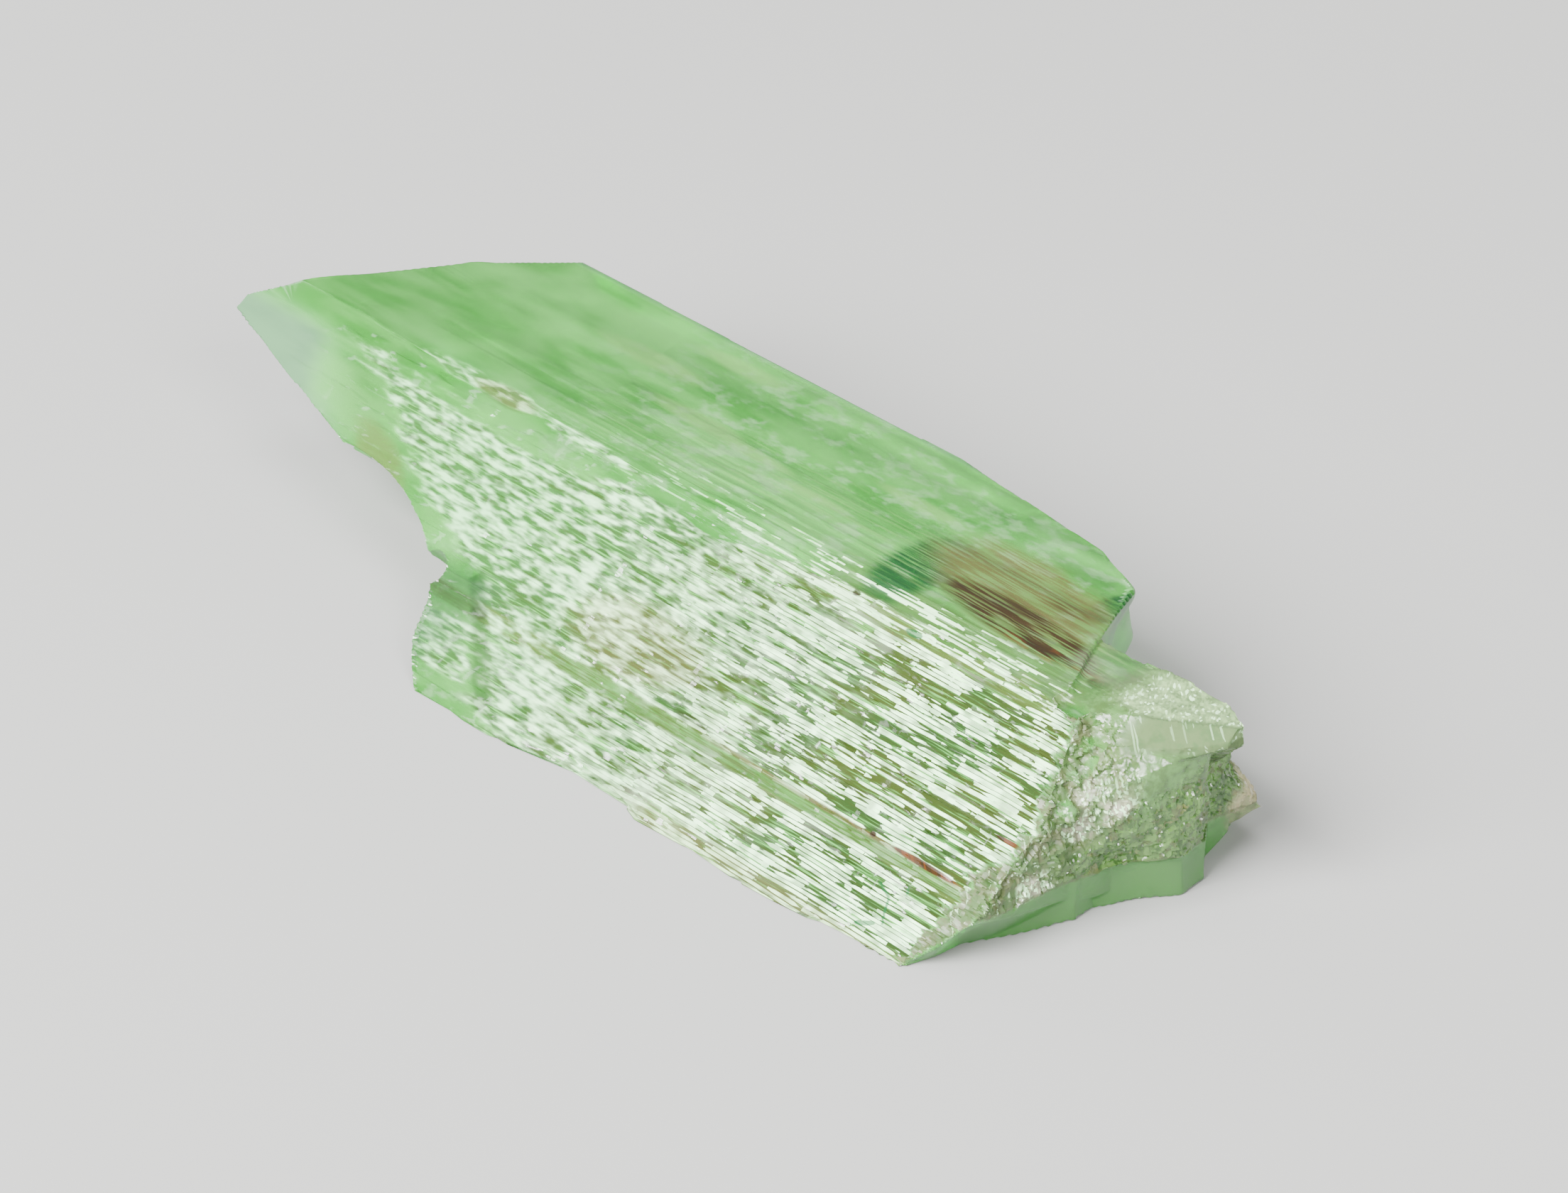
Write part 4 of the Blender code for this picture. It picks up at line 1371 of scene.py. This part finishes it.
    def ground(self, on: Surface) -> Value:
        """The clear green of the body, and the darker green between the plateaus of the broad face.

        Args:
            on: The surface.

        Returns:
            The colour.
        """
        graph, x, y = on.graph, on.x, on.y
        green = graph.mix(on.mottle.step(0.35, 0.65), self.deep, self.body)
        green = graph.mix(on.streaks.step(0.35, 0.7) * 0.6, green, self.body)
        lines = on.hair.step(0.52, 0.66) * on.top * x.step(-26.0, -16.0) * y.step(11.0, 8.0)
        green = graph.mix(lines * x.step(-1.3, -1.5) * 0.45, green, self.lime)
        limed = any_of(self.lime_patches, on.plan, on.push)
        green = graph.mix(limed * on.top * (on.ragged * 0.8 + 0.2), green, self.lime)
        cloud = graph.noise(graph.place(x / 0.9, y / 0.5, on.z / 0.5), 3.0, 0.6)
        green = graph.mix(cloud.step(0.48, 0.68) * x.step(-27.0, -18.0) * 0.42, green, self.plateau)
        gaps = graph.mix(on.mottle.step(0.42, 0.6), self.near_gap, self.olive_and_shade)
        gaps = graph.mix(on.near, self.far_gap, gaps)
        # darker olive rows: partly olive tone, partly painted shadow along the lower edges of the plateaus
        gaps = graph.mix(on.row_tone.step(0.52, 0.66) * 0.55, gaps, self.olive_and_shade)
        gaps = graph.mix(on.row_tone.step(0.48, 0.34) * 0.55, gaps, self.body)
        return graph.mix(on.broad, green, graph.mix(on.bare, gaps, green))

    def groove_and_crest(self, on: Surface, coat: Coat) -> None:
        """Tints the floor of the groove and the worn strip along the crest."""
        groove = (on.s - self.groove_s).size().step(0.30, 0.20) * on.broad
        coat.paint(groove * (on.groove_tone.step(0.40, 0.60) * 0.5 + 0.4), self.bald)
        coat.paint(groove * on.groove_tone.step(0.54, 0.66) * on.near * 0.4, self.olive_and_shade)
        strip = (on.s - self.crest_s).size().step(1.0, 0.5) * on.x.step(-12.0, -9.0) * on.x.step(-0.6, -1.2)
        coat.paint(strip * (on.row_tone * 0.7 + 0.3), self.bald)

    def stains(self, on: Surface, coat: Coat) -> None:
        """Lays the emerald patches and the brown stain, with the haze about it, on the top face."""
        graph, x, y = on.graph, on.x, on.y
        emerald = self.emerald_patch.on(on.plan, on.push) * on.top
        for spot in self.emerald_spots:
            emerald = graph.greater(emerald, spot.on(on.plan, on.push))
        coat.paint(emerald * on.hair.step(0.85, 0.4), self.emerald)
        haze = self.haze_patch.on(on.plan, on.push) * on.top
        streaky = graph.noise(graph.place(x / 2.2, (y + x * 0.03) / 0.10, 5.0))
        stain = self.stain_patch.on(on.plan, (streaky - 0.5) * 1.1) * on.top
        blob = self.stain_blob.on(on.plan, (streaky - 0.5) * 1.8) * on.top
        stripes = streaky.step(0.40, 0.58)
        coat.paint(haze * (stripes * 0.25 + 0.72), self.smoke)
        coat.dull(haze * 0.3)
        stained = graph.greater(stain * (stripes * 0.35 + 0.65), blob * (stripes * 0.5 + 0.3))
        rusty = on.ragged.step(0.46, 0.6) * x.step(-6.5, -3.0) * y.step(8.1, 7.3) * 0.8
        coat.paint(stained, graph.mix(rusty, self.umber, self.rust))
        coat.dull(stained * 0.75)

    def plateaus(self, on: Surface, coat: Coat, white: Value) -> None:
        """Lays the painted white reflection of the plateaus, its rosy blushes, and the smoky edge of the
        groove.
        """
        graph = on.graph
        blush = self.broad_blush.on(on.face, on.push) * on.broad
        blush = graph.greater(blush, self.crest_blush.on(on.face, on.push))
        coat.paint(blush * 0.6, self.smoke)
        # pale: the painted white reflection of the plateaus, dimmer in the far half
        pale = graph.mix(on.streaks.step(0.3, 0.75) * 0.3, self.plateau, self.far_plateau_reflection)
        pale = graph.mix(on.near, self.far_plateau_reflection, pale)
        coat.paint(white, graph.mix(blush * 0.35, pale, self.rose))
        edge = (on.s - self.groove_s - 0.20 - (on.groove_tone - 0.5) * 0.1).size().step(0.09, 0.03)
        edge = edge * on.x.step(-12.0, -8.5) * on.broad
        coat.paint(edge * (on.groove_tone.step(0.3, 0.6) * 0.5 + 0.3), self.smoke)

    def rust_and_specks(self, on: Surface, coat: Coat) -> None:
        """Lays the rust lines and spots, the dark specks and the small green pit of the broad face."""
        graph = on.graph
        rust = any_of(self.rust_lines, on.face, on.push)
        rust = graph.greater(rust, self.faint_rust.on(on.face, on.push) * 0.45)
        spots = any_of(self.rust_spots, on.face, on.push)
        rusty = graph.greater(rust, spots * 0.35) * on.lift.step(-0.7, -0.35)
        coat.paint(rusty, graph.mix(on.grains.step(0.2, 0.9), self.rust, self.umber))
        coat.dull(rusty * 0.95)
        specks = any_of(self.specks, on.face, on.push)
        specks = graph.greater(specks, self.tan_patch.on(on.face, on.push) * 0.5)
        coat.paint(specks * on.broad, self.umber)
        coat.paint(self.pit.on(on.face, on.push) * on.broad * 0.85, self.emerald)

    def cracks_and_seams(self, on: Surface, coat: Coat) -> None:
        """Draws the hair cracks of the near corner and the dark seams behind the lobe."""
        coat.paint(on.cracked(self.seams) * 0.6 * on.broad, self.near_gap)
        coat.paint(self.seam_shadow.on(on.face, on.push) * on.broad * 0.5, self.umber)
        cracks = on.graph.greater(on.cracked(self.cracks), self.leaf.on(on.face, on.push)) * on.broad
        coat.paint(cracks * 0.85, self.emerald)

    def broken_end(self, on: Surface, coat: Coat, rough: Value) -> Value:
        """Lays the broken end: its granular face, the rubble, the knob, the shell-shaped foot and the spike.

        Args:
            on: The surface.
            coat: The coat so far.
            rough: How rough the surface is so far.

        Returns:
            How rough it is with the broken end.
        """
        graph, x, y, z = on.graph, on.x, on.y, on.z
        broken = graph.mix(on.lumps.step(0.42, 0.56), self.break_green, self.break_dark)
        broken = graph.mix(on.grains.step(0.3, 0.7) * 0.5, broken, self.break_green)
        broken = graph.mix(on.lumps.step(0.60, 0.66) * 0.6, broken, self.tan)
        broken = graph.mix(on.grains.step(0.88, 0.92) * 0.8, broken, self.crumb)
        coat.paint(on.end, broken)
        side = graph.mix(on.lumps.step(0.40, 0.62) * 0.7, self.knob_side, self.crumb_green)
        beside = y.step(5.7, 6.5) * on.lift.step(-2.6, -2.1) * on.end
        coat.paint(beside, side)

        sugar = any_of(self.sugar_patches, on.end_view, on.lump_push)
        # sparkling: painted glints, white grains for light caught by tiny facets; the roughness is lowered
        # there too
        sparkling = on.sparkle.step(0.95, 0.98) * 0.5 + on.sparkle.step(0.72, 0.78) * sugar
        knob = x.step(0.1, 0.8) * z.step(4.3, 4.65) * on.lift.step(-0.5, -0.9)
        crumb = on.crumb * (1.0 - graph.greater(knob, beside) * 0.85)
        coat.paint(crumb, self.rubble(on, sugar, sparkling))
        coat.dull(crumb * 0.7)
        knob = graph.greater(knob, x.step(-0.9, 0.1) * z.step(4.5, 4.9) * y.step(6.6, 7.2))
        coat.paint(knob * 0.9, self.frosted_knob(on))
        coat.dull(knob * 0.5)

        shell = on.end * z.step(1.3, 1.1)
        coat.paint(shell, self.shell)
        coat.dull(on.end * (1.0 - shell) * 0.5)
        spike = self.spike_patch.on(on.end_view, on.push) * x.step(-0.8, 0.2)
        coat.paint(spike * 0.9, graph.mix(on.lumps.step(0.4, 0.6) * 0.6, self.bone, self.crumb))
        line = (z - 1.24).size().step(0.07, 0.02) * on.end
        coat.paint(line * 0.6, self.crumb)

        hackly = graph.greater(on.end * (1.0 - shell), crumb) * (1.0 - knob * 0.7)
        rough = graph.greater(graph.greater(rough, knob * 0.9), crumb * 0.5)
        return rough * (1.0 - sparkling * hackly * 0.7)

    def rubble(self, on: Surface, sugar: Value, sparkling: Value) -> Value:
        """The colour of the rubble next to the broad face, with sugary patches and bright glints."""
        graph = on.graph
        crumbs = graph.mix(on.lumps.step(0.42, 0.58), self.crumb, self.crumb_green)
        low = on.z.step(3.0, 1.8) * on.lift.step(-0.6, -1.2)
        crumbs = graph.mix(low * 0.7, crumbs, self.crumb_green)
        crumbs = graph.mix(on.grains.step(0.3, 0.1) * 0.6, crumbs, self.break_dark)
        crumbs = graph.mix(sugar * (on.lumps.step(0.62, 0.38) * 0.6), crumbs, self.glint)
        # painted glints: the sparkling grains laid in white
        return graph.mix(sparkling, crumbs, self.plateau)

    def frosted_knob(self, on: Surface) -> Value:
        """The colour of the knob, paler on its top than on its brow."""
        graph = on.graph
        knobby = graph.mix(on.lumps.step(0.62, 0.42) * 0.45, self.knob, self.crumb)
        # painted glints: a few white grains over the brow
        knobby = graph.mix(on.sparkle.step(0.92, 0.96) * 0.25, knobby, self.plateau)
        brow = (on.x - 0.1) * 0.40 - (on.y - 6.35) * 0.585 + (on.z - 5.18) * 0.707
        uneven = on.lumps.step(0.35, 0.65) * 0.5 + on.sparkle.step(0.6, 0.2) * 0.35
        above = graph.mix(uneven, self.knob_top, self.knob)
        # painted glints: white grains over the top
        above = graph.mix(on.sparkle.step(0.86, 0.92) * 0.7, above, self.plateau)
        return graph.mix(brow.step(-0.02, -0.16) * on.z.step(4.8, 5.0), knobby, above)

    def edges(self, on: Surface, coat: Coat, rough: Value) -> Value:
        """Lays the tan foot, the cheek behind the knob, the frosted tip, lobe and back ridge.

        Args:
            on: The surface.
            coat: The coat so far.
            rough: How rough the surface is so far.

        Returns:
            How rough it is with the frosted tip.
        """
        x, y, z, s = on.x, on.y, on.z, on.s
        coat.paint(s.step(0.5, 0.1) * x.step(-14.0, -9.0) * on.broad * 0.45, self.tan)
        cheek = x.step(-2.9, -2.2) * y.step(7.0, 7.7) * z.step(3.4, 4.4) * x.step(-0.2, -0.8)
        coat.paint(cheek * (on.lumps * 0.7), self.cheek)
        tip = (x + 30.4 + (s - 6.0) * 1.0 + (on.mottle - 0.5) * 3.0).step(1.4, -1.8) * s.step(8.0, 6.9)
        coat.paint(tip * 0.85, self.frost)
        coat.dull(tip * 0.75)
        warm = self.warm_patch.on(on.face, on.push) * x.step(-24.5, -25.5)
        coat.paint(warm * 0.6, self.straw)
        lobe = (x + 20.6 + (2.0 - s) * 0.3).step(1.2, -0.6) * s.step(3.6, 3.0) * on.broad
        coat.paint(lobe * 0.5, self.frost)
        ridge = (y - PRISM.ridge_y).size().step(0.32, 0.05) * z.step(4.6, 5.0)
        coat.paint(ridge * 0.7, self.frost)
        coat.dull(ridge * 0.5)
        return on.graph.greater(rough, tip * 0.5)


@dataclass(frozen=True)
class FloorFinish:
    """Plain pale matt paper."""

    colour: Colour = (0.31, 0.31, 0.302)
    roughness: float = 0.85

    def dress(self, floor: bpy.types.Object) -> None:
        """Makes the material and puts it on."""
        graph = Graph("pale_floor")
        graph.wire(graph.shader.inputs["Base Color"], self.colour)
        graph.wire(graph.shader.inputs["Roughness"], self.roughness)
        floor.data.materials.append(graph.material)


# ---- the studio ---------------------------------------------------------------------------------------


@dataclass(frozen=True)
class Softbox:
    """A square area light that looks at the crystal."""

    name: str
    towards: Spot
    distance: float
    size: float
    power: float
    colour: Colour = (1.0, 1.0, 1.0)

    def hang(self) -> None:
        """Makes the light and aims it."""
        light = bpy.data.lights.new(self.name, "AREA")
        light.size = self.size
        light.energy = self.power
        light.color = self.colour
        lamp = bpy.data.objects.new(self.name, light)
        away = Vector(self.towards).normalized()
        lamp.location = away * self.distance
        lamp.rotation_euler = away.to_track_quat("Z", "Y").to_euler()
        bpy.context.scene.collection.objects.link(lamp)


@dataclass(frozen=True)
class Studio:
    """The floor, the lights, the surrounding light and the camera."""

    floor_size: float = 4.0
    floor_gap: float = 0.00002
    world: Colour = (1.0, 1.0, 1.0)
    world_strength: float = 0.27
    azimuth: float = math.radians(50)
    elevation: float = math.radians(28)
    distance: float = 150.0
    lens: float = 135.0
    sensor: float = 36.0
    clipping: Mark = (0.005, 20.0)
    image: tuple[int, int] = (2208, 1680)
    anchor_pixel: Mark = (1290.0, 1360.0)
    pixels_per_millimetre: float = 55.2
    lights: tuple[Softbox, ...] = (
        Softbox("key", (0.05, -0.78, 0.62), 0.5, 0.36, 16.5),
        Softbox("overhead", (-0.1, 0.1, 1.0), 0.5, 0.3, 1.5),
        Softbox("fill", (0.9, -0.25, 0.55), 0.5, 0.16, 2.8),
        Softbox("side", (-0.95, 0.05, 0.35), 0.5, 0.3, 1.2),
    )

    def lay_floor(self) -> None:
        """Lays the floor just under the crystal."""
        shape = bmesh.new()
        bmesh.ops.create_grid(shape, x_segments=1, y_segments=1, size=self.floor_size / 2)
        mesh = bpy.data.meshes.new("floor")
        shape.to_mesh(mesh)
        shape.free()
        floor = bpy.data.objects.new("floor", mesh)
        floor.location.z = -self.floor_gap
        bpy.context.scene.collection.objects.link(floor)
        FloorFinish().dress(floor)

    def light(self) -> None:
        """Hangs the lights and sets the surrounding light."""
        for softbox in self.lights:
            softbox.hang()
        world = bpy.data.worlds.new("studio")
        world.use_nodes = True
        background = world.node_tree.nodes["Background"]
        background.inputs["Color"].default_value = (*self.world, 1.0)
        background.inputs["Strength"].default_value = self.world_strength
        bpy.context.scene.world = world

    def aim_camera(self, middle: Vector) -> None:
        """Places the camera so that the low front corner of the broken end is at its own pixel.

        Args:
            middle: Where the crystal's origin is in the working frame, in millimetres.
        """
        level = Vector((math.sin(self.azimuth), -math.cos(self.azimuth), 0.0))
        back = level * math.cos(self.elevation) + Vector((0.0, 0.0, math.sin(self.elevation)))
        across = Vector((-back.y, back.x, 0.0)).normalized()
        up = back.cross(across)
        right_of = (self.image[0] / 2 - self.anchor_pixel[0]) / self.pixels_per_millimetre
        above = (self.anchor_pixel[1] - self.image[1] / 2) / self.pixels_per_millimetre
        place = back * self.distance + across * right_of + up * above
        data = bpy.data.cameras.new("camera")
        data.lens = self.lens
        data.sensor_width = self.sensor
        data.clip_start, data.clip_end = self.clipping
        camera = bpy.data.objects.new("camera", data)
        camera.location = (place - middle) * MILLIMETRE
        camera.rotation_euler = Matrix((across, up, back)).transposed().to_euler()
        bpy.context.scene.collection.objects.link(camera)
        bpy.context.scene.camera = camera


def main() -> None:
    """Builds the crystal and its studio."""
    logging.basicConfig(level=logging.INFO, format="%(message)s")
    parts = Crystal()
    crystal = parts.build()
    LOG.info("%s: %d triangles", crystal.name, len(crystal.data.polygons))
    HiddeniteFinish().dress(crystal, parts.middle)
    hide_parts("crystal")
    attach(crystal, "root")
    studio = Studio()
    studio.lay_floor()
    studio.light()
    studio.aim_camera(parts.middle)
    LOG.info("origin in the working frame: %s", tuple(parts.middle))


if __name__ == "__main__":
    main()
